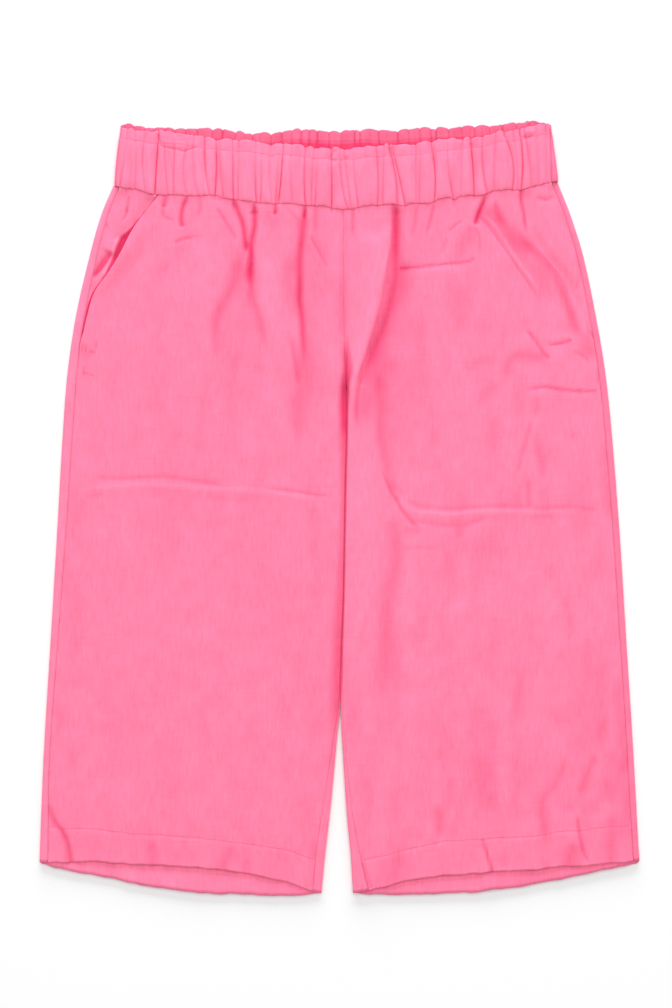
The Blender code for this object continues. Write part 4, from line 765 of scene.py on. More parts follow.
# Noises in the linen: cells in a metre across and along the cloth, detail, and node height
STREAKS = table(
    "label across along detail height",
    ("Lengthwise slubs", 400, 75, 3, 300),
    ("Crosswise slubs", 30, 620, 2, 0),
    ("Mottling", 66, 48, 4, -300),
    ("Lengthwise threads", 2100, 260, 1, -600),
    ("Crosswise threads", 260, 2100, 1, -900),
)
WEFT_SHARE = 0.4
SLUB_ROUGHNESS = 0.12
LINEN_ROUGHNESS = 0.9
THREAD_RELIEF = 0.3
THREAD_CONTRAST = 0.15
FLOOR_CONTRAST = 0.005

# One stitch, as shares of the thread: its bevelled ends and its flattened section. A row's first
# stitch starts a part of the pitch along it, they sink in a little, and none is set on a steep step
STITCH_INSET = 0.2
STITCH_POINT = 0.25
STITCH_SECTION = (1.0, 1.15, 0.8)
FIRST_STITCH = 0.3
STITCH_SUNK = 0.12
STEEPEST = 0.8

# Light and camera
VIEW_HEIGHT = 0.9626
CAMERA_X = -0.00334
CAMERA_Y = 0.0052
WORLD_LIGHT = 0.42
FLOOR_DEPTH = 0.0004
SENSOR = 36.0
LAMPS = table(
    "name place size power",
    ("overhead_softbox", (0.0, 0.8, 4.2), (5.0, 5.0), 150.0),
    ("low_softbox", (0.0, 5.4, 1.4), (6.0, 2.2), 420.0),
)


# Curves and soft shapes, on numbers or on whole nets of places


def smooth_curve(places, values):
    """A smooth curve through a short table, straight beyond its ends."""
    places, values = np.asarray(places, float), np.asarray(values, float)
    last = len(places) - 1
    before = np.maximum(np.arange(last + 1) - 1, 0)
    after = np.minimum(np.arange(last + 1) + 1, last)
    slopes = (values[after] - values[before]) / (places[after] - places[before])

    def read(place):
        place = np.asarray(place, float)
        index = np.clip(np.searchsorted(places, place, side="right") - 1, 0, last - 1)
        span = places[index + 1] - places[index]
        t = np.clip((place - places[index]) / span, 0, 1)
        inside = (
            (2 * t**3 - 3 * t**2 + 1) * values[index]
            + (t**3 - 2 * t**2 + t) * span * slopes[index]
            + (3 * t**2 - 2 * t**3) * values[index + 1]
            + (t**3 - t**2) * span * slopes[index + 1]
        )
        before_start = np.minimum(place - places[0], 0) * slopes[0]
        beyond_end = np.maximum(place - places[last], 0) * slopes[last]
        return inside + before_start + beyond_end

    return read


def column_curve(rows, place, value):
    """A smooth curve through two named columns of a table."""
    return smooth_curve([getattr(row, place) for row in rows], [getattr(row, value) for row in rows])


def mix(a, b, share):
    """From a at 0 to b at 1."""
    return a + (b - a) * share


def ease(share):
    """0 below 0, 1 above 1, with a soft start and end between."""
    t = np.clip(share, 0.0, 1.0)
    return t * t * (3 - 2 * t)


def bell(share):
    """1 at 0, falling softly to 0 at 1 and beyond."""
    return 1 - ease(np.abs(share))


def peak(share):
    """1 at 0 with a crisp top, falling to 0 at 1 and beyond."""
    return np.maximum(1 - np.abs(share), 0) ** 2


def by_side(rows, part=""):
    """Curves down the garment through a table's columns for the left and the right."""
    return {leg.side: column_curve(rows, "down", leg.side + part) for leg in LEGS}


OUTER_EDGE = by_side(OUTLINE)
INNER_EDGE = by_side(INNER)
SIDE_TURN = by_side(TURN, "_side")
INSEAM_TURN = by_side(TURN, "_inseam")
EDGE_REACH = by_side(EDGE_SHADES)
EDGE_DEPTH = by_side(EDGE_SHADES, "_depth")
OPENING_REACH = by_side(OPENING_SHADES)
CRUMPLE_SHADING = by_side(CRUMPLE_SHADES)
POCKET_EDGE = by_side(SLANT)
FRONT_SEAM = smooth_curve(*zip(*SEAM_LINE))
FRONT_TOP = smooth_curve(*zip(*FRONT_TOP_LINE))
BACK_TOP = smooth_curve(*zip(*BACK_TOP_LINE))
FRONT_HEM = column_curve(HEMS, "x", "front")
BACK_HEM = column_curve(HEMS, "x", "back")
HEM_STITCH = column_curve(HEMS, "x", "stitch")
CENTRE = smooth_curve([83.0, 222.0, CROTCH], [CENTRE_TOP, CENTRE_FLY, CENTRE_CROTCH])


def back_seam(x):
    """Lower edge of the back of the waistband, which meets the front's at the sides."""
    left, right = BAND_FOOT
    across = np.clip((x - left) / (right - left), 0, 1)
    level = mix(FRONT_SEAM(left), FRONT_SEAM(right), across)
    return level + 4 * BACK_SEAM_DIP * across * (1 - across)


def uneven(name, x, down=0.0, cells=96):
    """Soft uneven values over the cloth or along a line, the same on every run."""
    pattern = UNEVEN[name]
    values = np.random.default_rng(pattern.seed).uniform(-1, 1, (cells + 1, cells + 1))
    across, along = np.asarray(x) / pattern.across, (down + 0 * x) / pattern.along
    column, row = np.floor(across).astype(int), np.floor(along).astype(int)
    s, t = ease(across - column), ease(along - row)
    column, row = column % cells, row % cells
    upper = mix(values[row, column], values[row, column + 1], s)
    lower = mix(values[row + 1, column], values[row + 1, column + 1], s)
    return pattern.amount * mix(upper, lower, t)


def front_hem(x):
    """Lower edge of the front panels, a little uneven as it was sewn."""
    return FRONT_HEM(x) + HEM_WAVE * (uneven("front hem", x) + uneven("long front hem", x))


def back_hem(x):
    """Lower edge of the back panels, uneven in its own way."""
    return BACK_HEM(x) + HEM_WAVE * (uneven("back hem", x) + uneven("long back hem", x))


def fold_line(fold, steps=6):
    """Points along a fold, on a smooth line through its places."""
    path = np.asarray(fold.path, float)
    padded = np.vstack([2 * path[0] - path[1], path, 2 * path[-1] - path[-2]])
    points = []
    for index in range(len(path) - 1):
        a, b, c, d = padded[index : index + 4]
        for step in range(steps):
            t = step / steps
            points.append(0.5 * (2 * b + (c - a) * t + (2 * a - 5 * b + 4 * c - d) * t**2
                                 + (3 * b - a - 3 * c + d) * t**3))
    points.append(path[-1])
    return np.array(points)


def fold_places(fold, x, down):
    """Which places of a net a fold reaches, their share of its half width, and its fading there."""
    line = fold_line(fold)
    reach = SKIRT_SPREAD * max(fold.left, fold.right) * max(fold.grow, 1)
    low, high = line.min(axis=0) - reach, line.max(axis=0) + reach
    near = (x > low[0]) & (x < high[0]) & (down > low[1]) & (down < high[1])
    px, pd = x[near], down[near]
    nearest, along, hand = np.full(px.shape, 1e9), np.zeros_like(px), np.ones_like(px)
    walked = 0.0
    for (ax, ad), (bx, bd) in zip(line, line[1:]):
        run_x, run_d = bx - ax, bd - ad
        length = math.hypot(run_x, run_d)
        t = np.clip(((px - ax) * run_x + (pd - ad) * run_d) / length**2, 0, 1)
        off_x, off_d = px - ax - t * run_x, pd - ad - t * run_d
        distance = np.hypot(off_x, off_d)
        closer = distance < nearest
        nearest = np.where(closer, distance, nearest)
        along = np.where(closer, walked + t * length, along)
        hand = np.where(closer, run_x * off_d - run_d * off_x, hand)
        walked += length
    ends = ease(along / max(fold.start, SHORTEST_FADE))
    ends = ends * ease((walked - along) / max(fold.end, SHORTEST_FADE))
    widths = np.where(hand > 0, fold.right, fold.left) * mix(1, fold.grow, along / walked)
    share = nearest / (widths * mix(TAPER, 1, ends))
    return near, share, ends


def folds_height(folds, x, down):
    """Height that folds add at each place of a net."""
    total = np.zeros_like(x)
    for fold in folds:
        near, share, ends = fold_places(fold, x, down)
        core = mix(bell(share), peak(share), fold.crisp)
        total[near] += fold.height * mix(core, bell(share / SKIRT_SPREAD), SKIRT_SHARE) * ends
    return total


def folds_shade(folds, x, down):
    """Painted shade in the hollows and painted light on the ridges, softer than their lines."""
    total = np.zeros_like(x)
    for fold in folds:
        if fold.tint:
            near, share, ends = fold_places(fold, x, down)
            total[near] += fold.tint * ends * bell(share / mix(SHADE_SPREAD, 1, fold.crisp))
    return total


# The front panels


def side_seam(leg, down):
    """Where the front meets the back's turned edge at the side."""
    return OUTER_EDGE[leg.side](down) - leg.sign * SIDE_TURN[leg.side](down)


def inner_seam(leg, down):
    """The centre front seam above the crotch, and the inseam below it."""
    inseam = INNER_EDGE[leg.side](down) + leg.sign * INSEAM_TURN[leg.side](down)
    return mix(CENTRE(down), inseam, ease((down - CROTCH + CROTCH_SPREAD) / CROTCH_SPREAD))


def front_edges(leg, down):
    """The front panel's outer and inner x at each level, with their seam gaps."""
    seam = side_seam(leg, down) - leg.sign * SEAM_GAP
    closed = ease((down - POCKET_END + POCKET_CLOSING) / POCKET_CLOSED)
    outer = mix(POCKET_EDGE[leg.side](down), seam, closed)
    return outer, inner_seam(leg, down) + leg.sign * SEAM_GAP / 2


def edge_height(leg, distance):
    """Share of the full height at a distance from a leg's inner edge."""
    return 1 - EDGE_ROUNDING * np.maximum(1 - distance / leg.edge_reach, 0) ** leg.edge_slope


def gathers_below_seam(x, down):
    """The gathers run on a little way into the legs below the waist seam."""
    below = np.maximum(down - FRONT_SEAM(x), 0)
    total = np.zeros_like(x)
    for gather in FRONT_GATHERS:
        lean = (gather.foot - gather.middle) * GATHER_LEAN * np.minimum(below, LEAN_END)
        width = GATHER_SPREAD * gather.width + GATHER_WIDENING * below
        line = peak((x - gather.foot - lean) / width)
        total -= gather.lower * line * ease(1 - below / (gather.reach + GATHER_RUN))
    return total


def pocket_cover(leg, x, down):
    """1 where the front lies over the pocket facing, 0 away from it."""
    inside = (POCKET_EDGE[leg.side](down) - x) * leg.sign
    above_end = (POCKET_END + COVER_BELOW - down) / COVER_BELOW_FADE
    return ease(1 - (inside - COVER_START) / COVER_FADE) * ease(above_end)


def front_height(leg, x, down):
    """Height of the front's face above the surface that the garment lies on."""
    to_side = (side_seam(leg, down) - x) * leg.sign
    to_inseam = (x - inner_seam(leg, down)) * leg.sign
    below_crotch = ease((down - CROTCH + CROTCH_REACH) / (CROTCH_REACH + CROTCH_SPREAD))
    near_inseam = mix(PUFF_REACH, to_inseam, below_crotch)
    rest = mix(SIDE_HEIGHT, leg.inseam_height, ease(1 - near_inseam / PUFF_REACH) * below_crotch)
    relief = PUFF * ease(np.minimum(to_side, near_inseam) / PUFF_REACH)
    relief = relief + uneven("rumples", x, down) + uneven("small rumples", x, down)
    relief += folds_height(FOLDS, x, down)
    height = rest + relief * ease(to_side / SIDE_FADE) * ease(near_inseam / leg.fade)
    height += uneven("fine rumples", x, down)
    from_edge = (x - INNER_EDGE[leg.side](np.maximum(down, CROTCH))) * leg.sign
    rounded = ease((down - CROTCH + ROUNDING_ABOVE) / ROUNDING_LENGTH)
    height = height * mix(1, edge_height(leg, np.maximum(from_edge, 0)), rounded)
    covered = pocket_cover(leg, x, down)
    if leg.side == "left":
        lifted = np.maximum(height, GAPE_HEIGHT) + GAPE_LIFT * bell((down - GAPE_DOWN) / GAPE_REACH)
    else:
        dipped = SHUT_HEIGHT - SHUT_DIP * bell((POCKET_EDGE[leg.side](down) - x) / SHUT_DIP_REACH)
        lifted = mix(height, dipped, SHUT_SHARE)
    height = mix(height, lifted, covered)
    below_seam = down - FRONT_SEAM(x)
    height = mix(height, WAIST_HEIGHT, ease(1 - below_seam / WAIST_REACH)) + gathers_below_seam(x, down)
    height = mix(height, height - TUCK_DROP, ease(0.3 - below_seam / TUCK))
    height = height - SEAM_DIP * bell(to_side / SEAM_DIP_REACH) * (1 - covered)
    at_hem = ease((down - front_hem(x) + HEM_SLOPE) / HEM_SLOPE)
    at_hem = at_hem * ease((np.minimum(to_side, to_inseam) - 2) / HEM_SIDE_FADE)
    height = mix(height, HEM_HEIGHT + (height - SIDE_HEIGHT) / 2, at_hem)
    past_stitch = down - front_hem(x) + HEM_STITCH(x)
    groove = HEM_GROOVE * peak((past_stitch - HEM_GROOVE_WIDTH / 2) / HEM_GROOVE_WIDTH)
    height += HEM_STEP * ease(past_stitch / HEM_STEP_WIDTH + 0.5) - groove
    lowest = mix(CLOTH_ABOVE_CLOTH, HEM_HEIGHT - 0.6, ease((past_stitch + 8) / 12))
    return np.maximum(height, lowest)


def front_rows():
    """Distances below the waist seam of a front panel's rows, closest where it is gathered."""
    rows, down = [-TUCK, -TUCK / 2, 0.0], 0.0
    while down < FRONT_LENGTH:
        step = next(row.step for row in ROW_STEPS if down < row.until)
        down = min(down + step, FRONT_LENGTH)
        rows.append(down)
    return np.array(rows)[:, None]


def front_level(rows, x):
    """How far down each row lies at x: parallel to the waist above, and to the hem below."""
    from_top = FRONT_SEAM(x) + SEAM_GAP / 2 + rows
    from_hem = front_hem(x) - (FRONT_LENGTH - rows)
    return mix(from_top, from_hem, ease((rows - 150) / (FRONT_LENGTH - 300)))


def front_net(leg, columns=153):
    """Net of a front panel. Its width and its levels depend on each other, so they are repeated."""
    rows = front_rows()
    t = np.linspace(0, 1, columns)
    share = (t - 0.3 * np.sin(2 * math.pi * t) / (2 * math.pi))[None, :]
    x = np.full((len(rows), columns), leg.sign * 120.0)
    for _ in range(7):
        down = front_level(rows, x)
        outer, inner = front_edges(leg, down)
        x = mix(outer, inner, share)
    down = front_level(rows, x)
    return np.stack([x, down, front_height(leg, x, down)], axis=-1)


# The back panels


def inseam_height(leg, down):
    """The inseam's turned edge sinks under the front panels just above the crotch."""
    return mix(2.0, leg.inseam_height, ease((down - CROTCH + CROTCH_UNDERLAP) / CROTCH_UNDERLAP))


def side_section(leg, down, step, steps):
    """x and height of the back's turned side edge, from its seam (0) round to below (steps)."""
    edge = OUTER_EDGE[leg.side](down)
    half = steps // 2
    away = SIDE_TURN[leg.side](down) * np.maximum(1 - step / half, 0) ** 2
    rise = 1 - SIDE_ROUNDING * np.maximum(1 - away / SIDE_ROUNDING_REACH, 0) ** SIDE_ROUNDING_POWER
    angle = np.pi / 2 * np.clip((step - half) / (steps - half), 0, 1)
    radius = SIDE_HEIGHT / 2
    x = edge - leg.sign * np.where(step <= half, away, radius * (1 - np.cos(angle)))
    top = SIDE_HEIGHT * rise - SEAM_DIP * bell((SIDE_TURN[leg.side](down) - away) / SEAM_DIP_REACH)
    return x, np.where(step <= half, top, radius * (1 - np.sin(angle)))


def inseam_section(leg, down, step, steps):
    """The same for the back's turned inseam, from below (0) round to its seam (steps)."""
    edge = INNER_EDGE[leg.side](down)
    height = inseam_height(leg, down)
    half = steps - steps // 2
    away = INSEAM_TURN[leg.side](down) * np.maximum((step - half) / (steps - half), 0) ** 2
    angle = np.pi / 2 * (1 - np.clip(step / half, 0, 1))
    radius = height / 2
    x = edge + leg.sign * np.where(step >= half, away, radius * (1 - np.cos(angle)))
    return x, np.where(step >= half, height * edge_height(leg, away), radius * (1 - np.sin(angle)))


def back_net(leg, turned=14, flat=62, upper=52, lower=132):
    """Net of a back panel's outside, with the first row and column of its turned inseam."""
    share = np.concatenate([np.linspace(0, 1, upper), np.linspace(0, 1, lower)[1:]])[:, None]
    row = np.arange(len(share))[:, None]
    first_wrapped, narrow = upper - 4, turned + 1 + flat
    column = np.arange(narrow + turned)[None, :]
    below_crotch, wrapped = row >= upper, row >= first_wrapped
    at_side, at_inseam = column <= turned, wrapped & (column >= narrow - 1)
    half = turned // 2
    side_front = np.clip(1 - (column - half) / half, 0, 1) * at_side
    front = np.where(at_inseam, np.clip((column - narrow + 1) / half, 0, 1), side_front)
    down = mix(70.0, LENGTH, row / len(share)) + 0.0 * column
    for _ in range(6):
        side_x, side_height = side_section(leg, down, column, turned)
        inseam_x, inner_height = inseam_section(leg, down, column - narrow + 1, turned)
        edge = OUTER_EDGE[leg.side](down) - leg.sign * SIDE_HEIGHT / 2
        inner = INNER_EDGE[leg.side](down) + leg.sign * inseam_height(leg, down) / 2
        end = np.where(wrapped, inner, CENTRE(down) + leg.sign * SEAM_GAP / 2)
        x = mix(edge, end, (column - turned) / flat)
        x = np.where(at_side, side_x, np.where(at_inseam, inseam_x, x))
        height = np.where(at_side, side_height, np.where(at_inseam, inner_height, 0.0))
        top = mix(back_seam(x), FRONT_SEAM(x), front * at_side) + SEAM_GAP / 2
        hem = mix(back_hem(x), front_hem(x), front)
        down = np.where(below_crotch, mix(CROTCH, hem, share), mix(top, CROTCH, share))
    unused = (row < first_wrapped) & (column >= narrow)
    x, down, height = (np.where(unused, values[first_wrapped], values) for values in (x, down, height))
    lies = ease(1 - height / 0.4) * ease((OUTER_EDGE[leg.side](down) - x) * leg.sign / EDGE_REST - 0.3)
    hem_lift = BACK_HEM_LIFT * ease((down - back_hem(x) + 26) / BACK_HEM_SLOPE)
    rise = folds_height(BACK_FOLDS, x, down) + BACK_REST + uneven("back rumples", x, down)
    at_inner = ease((x - INNER_EDGE[leg.side](down)) * leg.sign / EDGE_REST - 0.3)
    at_inner = mix(1, at_inner, ease((down - CROTCH + EDGE_REST) / EDGE_REST))
    height = height + np.maximum(rise + hem_lift, 0) * lies * at_inner
    return np.stack([x, down, height], axis=-1), first_wrapped, narrow


# The pocket facings and the waistband


def facing_net(leg, rows=96, columns=44):
    """Net of a pocket facing, which runs on a little under the front panel."""
    share_down = np.linspace(0, 1, rows)[:, None]
    share_across = np.linspace(0, 1, columns)[None, :]
    x = np.full((rows, columns), leg.sign * 200.0)
    for _ in range(8):
        down = mix(FRONT_SEAM(x) + SEAM_GAP / 2, FACING_END, share_down)
        edge = side_seam(leg, down) - leg.sign * SEAM_GAP
        x = mix(edge, POCKET_EDGE[leg.side](down) - leg.sign * UNDERLAP, share_across)
    to_side = (side_seam(leg, down) - x) * leg.sign
    shown = (x - POCKET_EDGE[leg.side](down)) * leg.sign
    bulge = leg.facing_bulge * ease(to_side / FACING_FADE) * ease((shown - 2) / FACING_FADE)
    height = SIDE_HEIGHT + bulge - leg.facing_dip * bell(shown / FACING_DIP_REACH)
    height = height - FACING_UNDER_DIP * ease(-shown / FACING_SLOPE)
    height = height - FACING_END_DIP * ease((down - FACING_END + 1.5 * FACING_SLOPE) / FACING_SLOPE)
    relief = folds_height(FACING_FOLDS, x, down) + uneven("facing rumples", x, down)
    height = height + relief * ease(to_side / 7)
    at_waist = ease(1 - (down - FRONT_SEAM(x)) / WAIST_REACH)
    height = mix(height, WAIST_HEIGHT - 0.3, at_waist * ease(shown / 3))
    highest = mix(FACING_LIFT, 3 * SIDE_HEIGHT, ease((shown + 1) / 3))
    return np.stack([x, down, np.clip(height, CLOTH_ABOVE_CLOTH, highest)], axis=-1)


def along_band(top, middle, foot, part):
    """x at a share of the band's height, on the curve through its three places."""
    a, b, c = HEADING_PART, BAND_MIDDLE_PART, 1.0
    part = np.maximum(part, HEADING_PART * 0.4)
    return (
        top * (part - b) * (part - c) / ((a - b) * (a - c))
        + middle * (part - a) * (part - c) / ((b - a) * (b - c))
        + foot * (part - a) * (part - b) / ((c - a) * (c - b))
    )


def crest_columns(stops, spacing):
    """Columns between neighbouring stops: the stop before, the share, and the crest there."""
    columns = []
    for index, (before, after) in enumerate(zip(stops, stops[1:])):
        gap = abs(after - before)
        count = max(2, math.ceil(gap / spacing))
        for step in range(count):
            share = (1 - math.cos(math.pi * step / count)) / 2
            crest = min(CREST_PART * gap, HIGHEST_CREST) * 4 * share * (1 - share)
            columns.append((index, share, crest))
    columns.append((len(stops) - 2, 1.0, 0.0))
    return columns


def front_band(part, level):
    """x, down, height and shade along the front of the waistband at one level."""
    gathers = sorted(FRONT_GATHERS, key=lambda gather: gather.middle)
    tops = [BAND_TOP[0]] + [g.top for g in gathers] + [BAND_TOP[1]]
    middles = [BAND_MIDDLE[0]] + [g.middle for g in gathers] + [BAND_MIDDLE[1]]
    feet = [BAND_FOOT[0]] + [g.foot for g in gathers] + [BAND_FOOT[1]]
    stops = along_band(np.array(tops), np.array(middles), np.array(feet), part)
    index, share, crest = (np.array(c) for c in zip(*crest_columns(middles, FRONT_CREST_STEP)))
    x = mix(stops[index], stops[index + 1], share)
    frill = ease((HEADING_PART - part) / HEADING_PART)
    top = FRONT_TOP(x) - frill * (FRILL_CREST * crest + uneven("front frill", x))
    for gather, middle in zip(gathers, stops[1:-1]):
        top = top + frill * FRILL_NOTCH * gather.heading * peak((x - middle) / FRILL_NOTCH_WIDTH)
    puckers = PUCKER * np.maximum(uneven("puckers", x), 0)
    down = mix(top, FRONT_SEAM(x) - SEAM_GAP / 2 + puckers, part)
    height = level.front + crest * level.ripple
    # Painted shade: a little less than on open cloth over the band's front, deeper along and beside each
    # gather
    shade = np.full_like(x, BAND_SHADE_OFFSET)
    for gather, middle in zip(gathers, stops[1:-1]):
        at_stitching = STITCHED_SHARE * (gather.heading + gather.upper) / 2
        half_way, at_seam = (gather.upper + gather.lower) / 2, gather.lower * STITCHED_SHARE
        depth = np.interp(part, GATHER_LEVELS, (gather.heading, gather.heading, at_stitching,
                                                gather.upper, half_way, gather.lower, at_seam))
        height -= CREASE_SHARE * depth * peak((x - middle) / (CREASE_WIDTH * gather.width))
        height -= SIDES_SHARE * depth * bell((x - middle) / (SIDES_WIDTH * gather.width))
        shade += GATHER_LINE_SHADE * depth * peak((x - middle) / (GATHER_LINE_SHADE_WIDTH * gather.width))
        shade += GATHER_SIDE_SHADE * depth * bell((x - middle) / (SIDES_WIDTH * gather.width))
    height += folds_height(BAND_FOLDS, x, down)
    shade += folds_shade(BAND_FOLDS, x, down) + uneven("band tone", x, down) * level.ripple
    height += level.ripple * (uneven("band rumples", x, down) + uneven("small band rumples", x, down))
    return x, down, height, shade


def back_band(part, level):
    """The same along the back of the waistband, from right to left, for its underside."""
    places = [BAND_TOP[1]] + [gather.x for gather in reversed(BACK_GATHERS)] + [BAND_TOP[0]]
    ends = along_band(np.array(BAND_TOP), np.array(BAND_MIDDLE), np.array(BAND_FOOT), part)
    stops = mix(ends[0], ends[1], (np.array(places) - BAND_TOP[0]) / (BAND_TOP[1] - BAND_TOP[0]))
    index, share, crest = (np.array(c) for c in zip(*crest_columns(places, BACK_CREST_STEP)))
    x = mix(stops[index], stops[index + 1], share)
    frill = ease((HEADING_PART - part) / HEADING_PART)
    top = BACK_TOP(x) - frill * (BACK_FRILL_CREST * crest + uneven("back frill", x))
    for gather, middle in zip(reversed(BACK_GATHERS), stops[1:-1]):
        notch = BACK_NOTCH * gather.depth * peak((x - middle) / BACK_NOTCH_WIDTH)
        top = top + frill * notch
    down = mix(top, back_seam(x) - SEAM_GAP / 2, part)
    height = level.back + (0.3 + 1.0 * frill) * crest
    # Painted shade inside the back of the band, deeper below the heading, with painted dark lines along the
    # heading stitching and along each gather
    inside = ease((part - HEADING_PART) / 0.05)
    shade = np.full_like(x, mix(INSIDE_HEADING_SHADE, INSIDE_SHADE, inside))
    shade += HEADING_LINE_SHADE * peak((part - HEADING_PART) / 0.04) + uneven("back band tone", x, down)
    for gather, middle in zip(reversed(BACK_GATHERS), stops[1:-1]):
        height -= gather.depth * (0.5 + frill) * peak((x - middle) / BACK_CREASE_WIDTH)
        shade += BACK_GATHER_SHADE * gather.depth * peak((x - middle) / BACK_GATHER_SHADE_WIDTH)
    height += (0.15 + 0.5 * frill) * uneven("back band rumples", x, down)
    return x, down, np.maximum(height, 0.0), shade


def band_net(arc_steps=12):
    """Net and shade of the flattened ring: front, right side, back, left side."""
    curves = {name: column_curve(BAND_LEVELS, "part", name) for name in ("front", "ripple", "back")}
    parts, start = [], 0.0
    for zone in BAND_ROWS:
        parts += list(np.linspace(start, zone.part, zone.count)[:-1])
        start = zone.part
    parts.append(start)
    rows = []
    for part in parts:
        level = BAND_LEVELS[0]._replace(**{name: float(curve(part)) for name, curve in curves.items()})
        front, back = front_band(part, level), back_band(part, level)
        row = [np.stack(front, axis=-1)]
        for sign, start, finish in ((1, -1, 0), (-1, 0, -1)):
            above = np.array([part_of[start] for part_of in front])
            below = np.array([part_of[finish] for part_of in back])
            angle = np.pi / 2 - np.pi * np.arange(1, arc_steps) / arc_steps
            if sign < 0:
                angle = angle[::-1]
            share = (1 - np.sin(angle)) / 2
            radius = (above[2] - below[2]) / 2
            x = mix(above[0], below[0], share) + sign * radius * 0.8 * np.cos(angle)
            down = mix(above[1], below[1], share)
            height = mix(above[2], below[2], share)
            # A little painted shade on the band's folded sides
            row.append(np.stack([x, down, height, 0.2 + 0 * x], axis=-1))
            if sign > 0:
                row.append(np.stack(back, axis=-1))
        rows.append(np.concatenate(row))
    net = np.array(rows)
    return net[..., :3], net[..., 3]


# Cloth meshes


def to_world(net):
    """Garment places in millimetres as Blender places in metres."""
    return np.stack([net[..., 0], HALF_LENGTH - net[..., 1], net[..., 2]], axis=-1) * MM


def slopes(values, axis, closed):
    """How a net's places change along its rows or its columns, round a closed ring too."""
    if closed and axis == 1:
        return np.roll(values, -1, axis=1) - np.roll(values, 1, axis=1)
    return np.gradient(values, axis=axis)


def blurred(values, passes, closed):
    """Values averaged with their neighbours over and over, so that they spread."""
    for _ in range(passes):
        rows = np.concatenate([values[:1], values, values[-1:]])
        values = (rows[:-2] + 2 * rows[1:-1] + rows[2:]) / 4
        if closed:
            before, after = np.roll(values, 1, axis=1), np.roll(values, -1, axis=1)
        else:
            before = np.concatenate([values[:, :1], values[:, :-1]], axis=1)
            after = np.concatenate([values[:, 1:], values[:, -1:]], axis=1)
        values = (before + 2 * values + after) / 4
    return values


def hollows(height, closed=False):
    """How deep each place lies in a fold, for the painted shade there: 0 on open cloth, 1 in the deepest
    creases.
    """
    depth = 0.0
    for spread in HOLLOWS:
        depth = depth + spread.weight * np.maximum(blurred(height, spread.passes, closed) - height, 0)
    return np.clip(depth, 0, 1)


def edge_shade(leg, x, down):
    """Painted shade beside the line where the two legs meet, with a narrow painted shadow line along it."""
    down = np.clip(down, EDGE_SHADES[0].down, EDGE_SHADES[-1].down)
    reach = EDGE_REACH[leg.side](down)
    from_edge = (x - INNER_EDGE[leg.side](down)) * leg.sign
    # A narrow painted shadow line right at the meeting of the legs
    line = 0.5 * bell(from_edge / EDGE_SHADOW_LINE) * ease((EDGE_SHADOW_LINE_END - down) / 12)
    line = line * ease((down - EDGE_SHADES[0].down) / 40)
    return EDGE_DEPTH[leg.side](down) * ease((reach - from_edge) / (0.75 * reach)) + line


def seam_shade(x, down):
    """Painted shade in the waist seam, stronger at each tuck of the gathered cloth."""
    tucks = np.clip(0.6 + uneven("tucks", x), 0.2, 1)
    return 0.35 * tucks * bell((down - FRONT_SEAM(x)) / SEAM_SHADE)


def opening_shade(leg, x, down):
    """Painted shade inside a pocket, beside the edge of its slanted opening."""
    down = np.clip(down, OPENING_SHADES[0].down, OPENING_SHADES[-1].down)
    reach = OPENING_REACH[leg.side](down)
    from_edge = (x - POCKET_EDGE[leg.side](down)) * leg.sign
    return ease((reach - from_edge) / (0.6 * reach)) * ease(reach - 0.6)


def soft_shade(leg, x, down):
    """Painted shade of faint crumples in handled linen, with a little painted light on their rises, more of
    them low on the right leg.
    """
    strength = CRUMPLE_SHADING[leg.side](down)
    tone = uneven("tone", x, down) + uneven("large tone", x, down)
    tone = tone + uneven("slanted tone", x + 0.25 * down, down)
    return strength * np.maximum(tone, -0.2)


